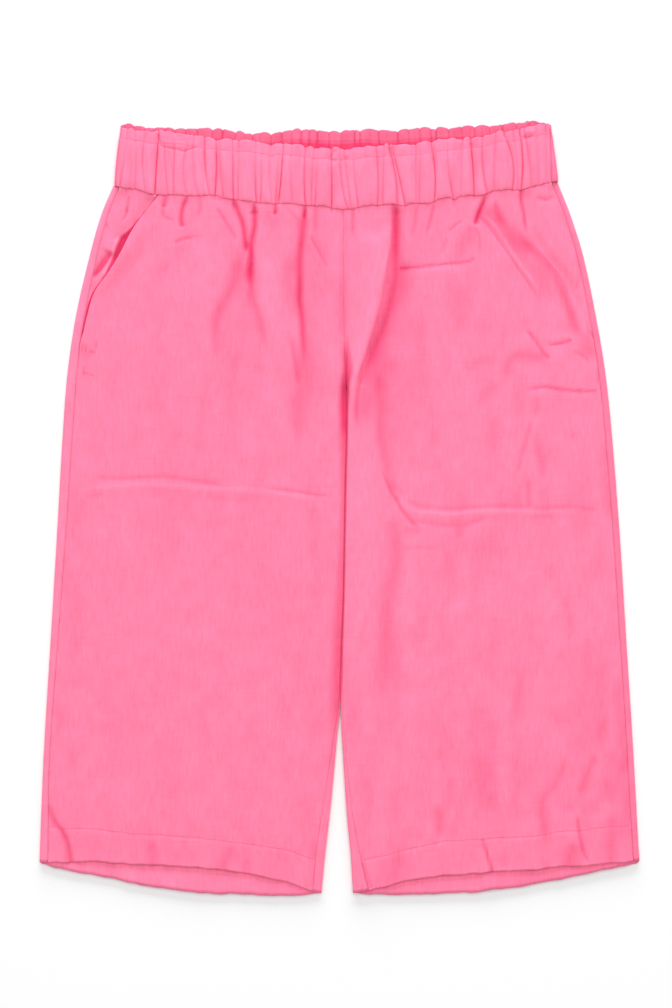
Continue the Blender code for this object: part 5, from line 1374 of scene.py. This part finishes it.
def cloth_piece(name, net, crease, grain, thickness, outward, closed=False, kept=None):
    """A thin closed sheet on a net: its outside on the net, and its inside within."""
    rows, columns = net.shape[:2]
    outer = to_world(net)
    normals = np.cross(slopes(outer, 1, closed), slopes(outer, 0, closed)) * outward
    normals /= np.maximum(np.linalg.norm(normals, axis=-1, keepdims=True), 1e-12)
    thickness = np.broadcast_to(np.asarray(thickness, float), (rows, columns))
    inner = outer - normals * thickness[..., None] * MM
    inner[..., 2] = np.maximum(inner[..., 2], 0.0)

    index = np.arange(rows * columns).reshape(rows, columns)
    after = np.roll(index, -1, axis=1) if closed else index[:, 1:]
    before = index if closed else index[:, :-1]
    quads = np.stack([before[:-1], after[:-1], after[1:], before[1:]], axis=-1)
    if kept is not None:
        quads = quads[kept]
    quads = quads.reshape(-1, 4)
    if outward < 0:
        quads = quads[:, ::-1]
    count = rows * columns
    starts = quads.ravel()
    ends = np.roll(quads, -1, axis=1).ravel()
    rim = ~np.isin(starts * count + ends, ends * count + starts)
    a, b = starts[rim], ends[rim]
    faces = np.concatenate([
        quads, quads[:, ::-1] + count, np.stack([b, a, a + count, b + count], axis=-1)
    ])
    used, faces = np.unique(faces, return_inverse=True)
    faces = faces.reshape(-1, 4)
    points = np.concatenate([outer.reshape(-1, 3), inner.reshape(-1, 3)])[used]

    mesh = bpy.data.meshes.new(name)
    mesh.from_pydata(points.tolist(), [], faces.tolist())
    mesh.update()
    cloth_place = np.stack([grain * MM, -net[..., 1] * MM], axis=-1).reshape(-1, 2)
    cloth_place = np.concatenate([cloth_place, cloth_place])[used]
    corners = np.zeros(len(mesh.loops), int)
    mesh.loops.foreach_get("vertex_index", corners)
    layer = mesh.uv_layers.new(name="cloth")
    layer.data.foreach_set("uv", cloth_place[corners].ravel().astype(np.float32))
    # Painted shade at each place, kept as an attribute that the material reads
    crease = np.concatenate([crease.ravel(), crease.ravel()])[used]
    attribute = mesh.attributes.new(name="crease", type="FLOAT", domain="POINT")
    attribute.data.foreach_set("value", np.clip(OPEN_SHADE + crease, 0, 1).astype(np.float32))

    piece = bpy.data.objects.new(name, mesh)
    bpy.context.collection.objects.link(piece)
    piece.data.materials.append(linen_material())
    smooth = np.ones(len(faces), bool)
    smooth[2 * len(quads):] = False
    mesh.polygons.foreach_set("use_smooth", smooth)
    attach(piece, "root")
    return piece


def settings():
    """The sizes and colours of the scene."""
    return bpy.context.scene.culottes


def wall(net, hem_line=None):
    """Thickness of the cloth over a net, double at a turned hem."""
    single, double = settings().cloth_thickness / MM, settings().hem_thickness / MM
    if hem_line is None:
        return np.full(net.shape[:2], single)
    return mix(single, double, ease((net[..., 1] - hem_line) / 1.5 + 0.5))


# Stitching


def one_stitch():
    """A single stitch of thread, lying along x, as its vertices and faces."""
    bpy.ops.object.select_all(action="DESELECT")
    length, width = settings().stitch_length, settings().thread_diameter
    bpy.ops.mesh.primitive_cylinder_add(vertices=6, radius=width / 2, depth=length,
                                        end_fill_type="NGON", rotation=(0, math.pi / 2, 0))
    stitch = bpy.context.object
    bpy.ops.object.transform_apply(location=True, rotation=True, scale=True)
    bpy.ops.object.mode_set(mode="EDIT")
    bpy.ops.mesh.select_mode(type="FACE")
    bpy.ops.mesh.select_all(action="DESELECT")
    bpy.ops.object.mode_set(mode="OBJECT")
    for face in stitch.data.polygons:
        face.select = abs(face.normal.x) > 0.9
    bpy.ops.object.mode_set(mode="EDIT")
    bpy.ops.mesh.inset(thickness=width * STITCH_INSET, depth=width * STITCH_POINT, use_individual=True)
    bpy.ops.mesh.select_all(action="SELECT")
    bpy.ops.transform.resize(value=STITCH_SECTION)
    bpy.ops.object.mode_set(mode="OBJECT")
    points = np.array([vertex.co for vertex in stitch.data.vertices])
    faces = [tuple(face.vertices) for face in stitch.data.polygons]
    mesh = stitch.data
    bpy.data.objects.remove(stitch)
    bpy.data.meshes.remove(mesh)
    return points, faces


def cloth_below(pieces):
    """Trees of the cloth, to find its surface under a stitch."""
    meshes = [piece.data for piece in pieces]
    return [BVHTree.FromPolygons([vertex.co for vertex in mesh.vertices],
                                 [tuple(face.vertices) for face in mesh.polygons]) for mesh in meshes]


def surface(trees, x, down, from_above):
    """Height of the outermost cloth at a place, or None where there is none."""
    start = Vector((x * MM, (HALF_LENGTH - down) * MM, 0.1 if from_above else -0.1))
    way = Vector((0, 0, -1 if from_above else 1))
    found = [hit[0].z for hit in (tree.ray_cast(start, way) for tree in trees) if hit[0] is not None]
    if not found:
        return None
    return max(found) if from_above else min(found)


def stitch_row(name, trees, line, pitch, from_above=True):
    """A row of stitches along a line of places, sunk a little into the cloth."""
    shape, faces = one_stitch()
    line = np.asarray(line, float)
    walked = np.concatenate([[0], np.cumsum(np.hypot(*np.diff(line, axis=0).T))])
    length = settings().stitch_length / MM
    points, all_faces = [], []
    sunk = settings().thread_diameter * STITCH_SUNK * (1 if from_above else -1)
    for start in np.arange(pitch * FIRST_STITCH, walked[-1] - length, pitch):
        ends = []
        for along in (start, start + length):
            x, down = np.interp(along, walked, line[:, 0]), np.interp(along, walked, line[:, 1])
            height = surface(trees, x, down, from_above)
            if height is None:
                break
            ends.append(Vector((x * MM, (HALF_LENGTH - down) * MM, height + sunk)))
        if len(ends) < 2 or abs(ends[0].z - ends[1].z) > STEEPEST * length * MM:
            continue
        run = (ends[1] - ends[0]).normalized()
        side = Vector((0, 0, 1)).cross(run).normalized()
        over = run.cross(side)
        turn = np.array([run, side, over])
        first = len(points) * len(shape)
        points.append(shape @ turn + np.array((ends[0] + ends[1]) / 2))
        all_faces += [tuple(first + corner for corner in face) for face in faces]
    mesh = bpy.data.meshes.new(name)
    mesh.from_pydata(np.concatenate(points).tolist(), [], all_faces)
    mesh.update()
    mesh.shade_smooth()
    piece = bpy.data.objects.new(name, mesh)
    bpy.context.collection.objects.link(piece)
    mesh.materials.append(thread_material())
    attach(piece, "root")
    return piece


# Materials


def new_material(name):
    """A new material, its node tree and its shader."""
    material = bpy.data.materials.new(name)
    material.use_nodes = True
    return material, material.node_tree, material.node_tree.nodes["Principled BSDF"]


def set_inputs(node, **values):
    """Give a node's inputs their values. Names are written with _ for a space."""
    for name, value in values.items():
        node.inputs[name.replace("_", " ")].default_value = value


def shade_between(tree, shader, low, high, scale, label):
    """Vary the base colour between two by noise on the object, and return that noise."""
    place = add_node(tree, "ShaderNodeTexCoord", (-800, 0))
    noise = add_node(tree, "ShaderNodeTexNoise", (-600, 0), label)
    tone = add_node(tree, "ShaderNodeMix", (-400, 0), "Tone", data_type="RGBA")
    set_inputs(noise, Scale=scale)
    set_inputs(tone, A=(*low, 1), B=(*high, 1))
    tree.links.new(place.outputs["Object"], noise.inputs["Vector"])
    tree.links.new(noise.outputs["Fac"], tone.inputs["Factor"])
    tree.links.new(tone.outputs["Result"], shader.inputs["Base Color"])
    return noise.outputs["Fac"]


def new_group(name, inputs, outputs):
    """A shader group with named inputs and outputs."""
    group = bpy.data.node_groups.new(name, "ShaderNodeTree")
    for direction, sockets in (("INPUT", inputs), ("OUTPUT", outputs)):
        for label, kind, value in sockets:
            socket = group.interface.new_socket(label, in_out=direction, socket_type=kind)
            if value is not None:
                socket.default_value = value
    return group


def add_node(tree, kind, place, label="", **values):
    """A labelled node at its place in the tree."""
    node = tree.nodes.new(kind)
    node.location = place
    node.label = label
    for key, value in values.items():
        setattr(node, key, value)
    return node


def math_node(tree, operation, place, a, b, label=""):
    """The outcome of one sum on sockets or numbers."""
    node = add_node(tree, "ShaderNodeMath", place, label, operation=operation)
    for socket, value in zip(node.inputs, (a, b)):
        if hasattr(value, "is_linked"):
            tree.links.new(value, socket)
        else:
            socket.default_value = value
    return node.outputs[0]


def streaks(tree, cloth_place, row):
    """Noise stretched along one way of the cloth, from 0 to 1."""
    spread = add_node(tree, "ShaderNodeMapping", (-760, row.height), row.label)
    set_inputs(spread, Scale=(row.across, row.along, 1))
    tree.links.new(cloth_place, spread.inputs["Vector"])
    noise = add_node(tree, "ShaderNodeTexNoise", (-560, row.height), row.label)
    set_inputs(noise, Scale=1.0, Detail=row.detail)
    tree.links.new(spread.outputs["Vector"], noise.inputs["Vector"])
    return noise.outputs["Fac"]


def linen_weave_and_shade():
    """Shader group: slubby plain weave, and the painted shade deep in its folds."""
    group = bpy.data.node_groups.get("Linen weave")
    if group:
        return group
    group = new_group("Linen weave", (
        ("Colour", "NodeSocketColor", None),
        ("Deep Colour", "NodeSocketColor", None),
        ("Slubs", "NodeSocketFloat", 0.36),
        ("Mottling", "NodeSocketFloat", 0.25),
        ("Crease", "NodeSocketFloat", 0.0),
    ), (
        ("Colour", "NodeSocketColor", None),
        ("Roughness", "NodeSocketFloat", None),
        ("Height", "NodeSocketFloat", None),
    ))
    entry = add_node(group, "NodeGroupInput", (-1000, 0))
    finish = add_node(group, "NodeGroupOutput", (900, 0))
    cloth = add_node(group, "ShaderNodeUVMap", (-1000, -300), "Place on the cloth", uv_map="cloth")
    place = cloth.outputs["UV"]
    warp, weft, mottle, threads_up, threads_over = (streaks(group, place, row) for row in STREAKS)
    warp = math_node(group, "SUBTRACT", (-500, 300), warp, 0.5)
    weft = math_node(group, "SUBTRACT", (-660, 60), weft, 0.5)
    weft = math_node(group, "MULTIPLY", (-500, 100), weft, WEFT_SHARE)
    slubs = math_node(group, "ADD", (-320, 200), warp, weft)
    slub_part = math_node(group, "MULTIPLY", (-140, 200), slubs, entry.outputs["Slubs"])
    mottle = math_node(group, "SUBTRACT", (-320, 0), mottle, 0.5)
    mottle_part = math_node(group, "MULTIPLY", (-140, 0), mottle, entry.outputs["Mottling"])
    tone = math_node(group, "ADD", (40, 120), slub_part, mottle_part)
    tone = math_node(group, "ADD", (200, 120), tone, 1.0, "Tone")
    # Mix towards the fold shade colour as far as the painted shade goes
    tint = add_node(group, "ShaderNodeMix", (260, 300), "Folds", data_type="RGBA")
    group.links.new(entry.outputs["Crease"], tint.inputs["Factor"])
    group.links.new(entry.outputs["Colour"], tint.inputs["A"])
    group.links.new(entry.outputs["Deep Colour"], tint.inputs["B"])
    toned = add_node(group, "ShaderNodeVectorMath", (460, 240), "Toned", operation="SCALE")
    group.links.new(tint.outputs["Result"], toned.inputs[0])
    group.links.new(tone, toned.inputs["Scale"])
    group.links.new(toned.outputs["Vector"], finish.inputs["Colour"])
    rough = math_node(group, "MULTIPLY", (340, 0), slubs, SLUB_ROUGHNESS)
    rough = math_node(group, "ADD", (500, 0), rough, LINEN_ROUGHNESS)
    group.links.new(rough, finish.inputs["Roughness"])
    threads = math_node(group, "ADD", (-320, -700), threads_up, threads_over)
    threads = math_node(group, "MULTIPLY", (100, -600), threads, THREAD_RELIEF)
    relief = math_node(group, "ADD", (500, -300), threads, slubs)
    group.links.new(relief, finish.inputs["Height"])
    return group


def linen_material():
    """Matt pink linen: its weave, its slubs and the painted shade in its creases."""
    material = bpy.data.materials.get("Pink linen")
    if material:
        return material
    material, tree, shader = new_material("Pink linen")
    weave = add_node(tree, "ShaderNodeGroup", (-400, 200), "Linen weave", node_tree=linen_weave_and_shade())
    set_inputs(weave, Colour=(*settings().linen_colour, 1), Deep_Colour=(*settings().fold_shade_colour, 1))
    # The painted shade attribute of each piece
    crease = add_node(tree, "ShaderNodeAttribute", (-620, 60), "Crease", attribute_name="crease")
    tree.links.new(crease.outputs["Fac"], weave.inputs["Crease"])
    bump = add_node(tree, "ShaderNodeBump", (-180, -200), "Weave")
    set_inputs(bump, Strength=0.35, Distance=0.0003)
    tree.links.new(weave.outputs["Height"], bump.inputs["Height"])
    tree.links.new(weave.outputs["Colour"], shader.inputs["Base Color"])
    tree.links.new(weave.outputs["Roughness"], shader.inputs["Roughness"])
    tree.links.new(bump.outputs["Normal"], shader.inputs["Normal"])
    set_inputs(shader, Specular_IOR_Level=0.2, Sheen_Weight=0.12, Sheen_Roughness=0.5)
    return material


def thread_material():
    """Twisted sewing thread of the cloth's own colour."""
    material = bpy.data.materials.get("Sewing thread")
    if material:
        return material
    material, tree, shader = new_material("Sewing thread")
    colour = settings().thread_colour
    dark = [(1 - THREAD_CONTRAST) * part for part in colour]
    pale = [min((1 + THREAD_CONTRAST) * part, 1) for part in colour]
    twist = shade_between(tree, shader, dark, pale, 900.0, "Twist")
    bump = add_node(tree, "ShaderNodeBump", (-200, -200), "Twist")
    set_inputs(bump, Distance=0.0001)
    tree.links.new(twist, bump.inputs["Height"])
    tree.links.new(bump.outputs["Normal"], shader.inputs["Normal"])
    set_inputs(shader, Roughness=0.7)
    return material


def floor_material():
    """The plain pale surface that the garment lies on."""
    material, tree, shader = new_material("Pale floor")
    colour = settings().floor_colour
    dark = [(1 - FLOOR_CONTRAST) * part for part in colour]
    shade_between(tree, shader, dark, colour, 3.0, "Faint grain")
    set_inputs(shader, Roughness=0.95, Specular_IOR_Level=0.0)
    return material


# The add-on


class CulottesSettings(bpy.types.PropertyGroup):
    """Sizes and colours of the culottes."""

    cloth_thickness: bpy.props.FloatProperty(
        name="Cloth thickness", description="Thickness of one layer of linen",
        default=0.0009, min=0.0002, max=0.002, unit="LENGTH", precision=4,
    )
    hem_thickness: bpy.props.FloatProperty(
        name="Hem thickness", description="Thickness of the turned hems",
        default=0.0017, min=0.0004, max=0.003, unit="LENGTH", precision=4,
    )
    stitch_length: bpy.props.FloatProperty(
        name="Stitch length", description="Length of one stitch that shows",
        default=0.0026, min=0.0005, max=0.01, unit="LENGTH", precision=4,
    )
    stitch_gap: bpy.props.FloatProperty(
        name="Stitch gap", description="Gap between two stitches",
        default=0.0006, min=0.0001, max=0.01, unit="LENGTH", precision=4,
    )
    thread_diameter: bpy.props.FloatProperty(
        name="Thread diameter", description="Diameter of the sewing thread",
        default=0.00045, min=0.0001, max=0.002, unit="LENGTH", precision=5,
    )
    linen_colour: bpy.props.FloatVectorProperty(
        name="Linen colour", description="Colour of the linen on open cloth",
        default=(0.955, 0.206, 0.352), subtype="COLOR", min=0, max=1,
    )
    # The colour that the painted shade in folds, hollows and seams goes towards
    fold_shade_colour: bpy.props.FloatVectorProperty(
        name="Fold shade colour", description="Richer colour deep in the folds",
        default=(0.71, 0.034, 0.124), subtype="COLOR", min=0, max=1,
    )
    thread_colour: bpy.props.FloatVectorProperty(
        name="Thread colour", description="Colour of the sewing thread",
        default=(0.78, 0.13, 0.27), subtype="COLOR", min=0, max=1,
    )
    floor_colour: bpy.props.FloatVectorProperty(
        name="Floor colour", description="Colour of the surface that the garment lies on",
        default=(0.84, 0.84, 0.84), subtype="COLOR", min=0, max=1,
    )
    camera_height: bpy.props.FloatProperty(
        name="Camera height", description="Height of the camera above the garment",
        default=3.0, min=1.5, max=5.0, unit="LENGTH",
    )


class CULOTTES_OT_back_panels(bpy.types.Operator):
    """Lay the two back panels, with their turned side seams and inseams"""

    bl_idname = "culottes.back_panels"
    bl_label = "Back panels"

    def execute(self, context):
        for leg in LEGS:
            net, first_wrapped, narrow = back_net(leg)
            kept = np.ones((net.shape[0] - 1, net.shape[1] - 1), bool)
            kept[:first_wrapped, narrow - 1 :] = False
            x, down, height = net[..., 0], net[..., 1], net[..., 2]
            # Painted shade in hollows, a painted shadow under the front's hem, painted light at the hem's
            # rim, painted light on the left side seam and painted shade on the right, and painted shade
            # beside the line between the legs where the panel is turned to the front
            turned = ease(height / TURNED_ABOVE)
            under_hem = UNDER_HEM_SHADE * bell((down - front_hem(x) + 0.5) / 2)
            rim = HEM_RIM_LIGHT * bell((back_hem(x) - down) / 3)
            crease = BACK_HOLLOWS * hollows(-height) * ease(1 - height / TURNED_ABOVE) + under_hem - rim
            crease = crease + leg.side_tint * ease(height / 2) * (leg.sign * x > AT_SIDE)
            crease = crease + turned * edge_shade(leg, x, down)
            grain = x + leg.sign * height
            thickness = wall(net, back_hem(x) - BACK_HEM_DEPTH)
            piece = cloth_piece("cloth_back_" + leg.side, net, crease, grain, thickness, -leg.sign,
                                kept=kept)
            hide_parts("back_leg_" + leg.side)
        return {"FINISHED"}


class CULOTTES_OT_pocket_facings(bpy.types.Operator):
    """Lay the pocket facings, which show through the slanted openings"""

    bl_idname = "culottes.pocket_facings"
    bl_label = "Pocket facings"

    def execute(self, context):
        for leg in LEGS:
            net = facing_net(leg)
            x, down = net[..., 0], net[..., 1]
            # Painted shade in the facing's folds and inside the pocket opening
            crease = folds_shade(FACING_FOLDS, x, down) + opening_shade(leg, x, down)
            piece = cloth_piece("cloth_pocket_facing_" + leg.side, net, crease, x, wall(net), leg.sign)
            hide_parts("pocket_facing_" + leg.side)
        return {"FINISHED"}


class CULOTTES_OT_front_panels(bpy.types.Operator):
    """Lay the two front panels with their folds, gathers and hems"""

    bl_idname = "culottes.front_panels"
    bl_label = "Front panels"

    def execute(self, context):
        for leg in LEGS:
            net = front_net(leg)
            x, down = net[..., 0], net[..., 1]
            hem_line = front_hem(x) - HEM_STITCH(x)
            to_side = (side_seam(leg, down) - x) * leg.sign
            # Painted shade of hollows, folds, the line between the legs, faint crumples and the waist seam,
            # with painted light on ridges
            crease = (hollows(net[..., 2]) * mix(0.4, 1, ease(to_side / 4)) + folds_shade(FOLDS, x, down)
                      + edge_shade(leg, x, down) + soft_shade(leg, x, down) + seam_shade(x, down))
            piece = cloth_piece("cloth_front_" + leg.side, net, crease, x, wall(net, hem_line), leg.sign)
            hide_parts("front_leg_" + leg.side)
        return {"FINISHED"}


class CULOTTES_OT_waistband(bpy.types.Operator):
    """Gather the waistband into its flattened ring"""

    bl_idname = "culottes.waistband"
    bl_label = "Waistband"

    def execute(self, context):
        net, shade = band_net()
        middle = net[net.shape[0] // 2, :, 0]
        grain = np.cumsum(np.abs(np.diff(middle, prepend=middle[:1]))) + 0.0 * net[..., 0]
        piece = cloth_piece("cloth_waistband", net, shade, grain, wall(net), -1, closed=True)
        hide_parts("waistband")
        return {"FINISHED"}


class CULOTTES_OT_stitching(bpy.types.Operator):
    """Sew the rows of stitches that show"""

    bl_idname = "culottes.stitching"
    bl_label = "Stitching"

    def execute(self, context):
        pitch = (settings().stitch_length + settings().stitch_gap) / MM
        cloth = {name: bpy.data.objects["cloth_" + name]
                 for name in ("waistband", "front_left", "front_right", "back_left", "back_right")}
        band = cloth_below([cloth["waistband"]])
        across = np.linspace(BAND_TOP[0] + 1, BAND_TOP[1] - 1, 300)
        heading = FRONT_TOP(across) + HEADING_PART * (FRONT_SEAM(across) - FRONT_TOP(across))
        stitch_row("stitches_heading_front", band, np.stack([across, heading], axis=-1), pitch)
        heading = BACK_TOP(across) + HEADING_PART * (back_seam(across) - BACK_TOP(across))
        stitch_row("stitches_heading_back", band, np.stack([across, heading], axis=-1), pitch, False)
        for leg in LEGS:
            edge = np.linspace(side_seam(leg, 690.0), inner_seam(leg, 700.0), 200)
            front = cloth_below([cloth["front_" + leg.side]])
            stitch_row("stitches_hem_front_" + leg.side, front,
                       np.stack([edge, front_hem(edge) - HEM_STITCH(edge)], axis=-1), pitch)
            back = cloth_below([cloth["back_" + leg.side]])
            stitch_row("stitches_hem_back_" + leg.side, back,
                       np.stack([edge, back_hem(edge) - BACK_STITCH_LINE], axis=-1), pitch, False)
        return {"FINISHED"}


class CULOTTES_OT_stage(bpy.types.Operator):
    """Set up the pale floor, the soft light and the camera straight above"""

    bl_idname = "culottes.stage"
    bl_label = "Stage"

    def execute(self, context):
        scene = context.scene
        bpy.ops.object.select_all(action="DESELECT")
        bpy.ops.mesh.primitive_plane_add(size=10, location=(0, 0, -FLOOR_DEPTH))
        floor = context.object
        floor.name = "floor"
        bpy.ops.object.transform_apply(location=True, rotation=True, scale=True)
        floor.data.materials.append(floor_material())

        world = bpy.data.worlds.new("Studio")
        world.use_nodes = True
        background = world.node_tree.nodes["Background"]
        background.inputs["Color"].default_value = (1, 1, 1, 1)
        background.inputs["Strength"].default_value = WORLD_LIGHT
        scene.world = world
        for light in LAMPS:
            bpy.ops.object.light_add(type="AREA", location=light.place)
            lamp = context.object
            lamp.name = light.name
            lamp.data.shape = "RECTANGLE"
            lamp.data.size, lamp.data.size_y = light.size
            lamp.data.energy = light.power
            lamp.rotation_euler = (-Vector(light.place)).to_track_quat("-Z", "Y").to_euler()

        distance = settings().camera_height
        bpy.ops.object.camera_add(location=(CAMERA_X, CAMERA_Y, distance), rotation=(0, 0, 0))
        camera = context.object
        camera.name = "camera"
        camera.data.sensor_fit = "AUTO"
        camera.data.sensor_width = SENSOR
        camera.data.lens = SENSOR * distance / VIEW_HEIGHT
        camera.data.dof.use_dof = False
        scene.camera = camera
        scene.view_settings.view_transform = "Standard"
        scene.view_settings.look = "None"
        return {"FINISHED"}


STEPS = (
    CULOTTES_OT_back_panels,
    CULOTTES_OT_pocket_facings,
    CULOTTES_OT_front_panels,
    CULOTTES_OT_waistband,
    CULOTTES_OT_stitching,
    CULOTTES_OT_stage,
)


class CULOTTES_PT_panel(bpy.types.Panel):
    bl_idname = "CULOTTES_PT_panel"
    bl_label = "Culottes"
    bl_space_type = "VIEW_3D"
    bl_region_type = "UI"
    bl_category = "Culottes"

    def draw(self, context):
        layout = self.layout
        for name in CulottesSettings.__annotations__:
            layout.prop(context.scene.culottes, name)
        for step in STEPS:
            layout.operator(step.bl_idname)


CLASSES = (CulottesSettings, *STEPS, CULOTTES_PT_panel)


def register():
    for cls in CLASSES:
        bpy.utils.register_class(cls)
    bpy.types.Scene.culottes = bpy.props.PointerProperty(type=CulottesSettings)


def unregister():
    del bpy.types.Scene.culottes
    for cls in reversed(CLASSES):
        bpy.utils.unregister_class(cls)


def main():
    register()
    bpy.ops.culottes.back_panels()
    bpy.ops.culottes.pocket_facings()
    bpy.ops.culottes.front_panels()
    bpy.ops.culottes.waistband()
    bpy.ops.culottes.stitching()
    bpy.ops.culottes.stage()


if __name__ == "__main__":
    main()
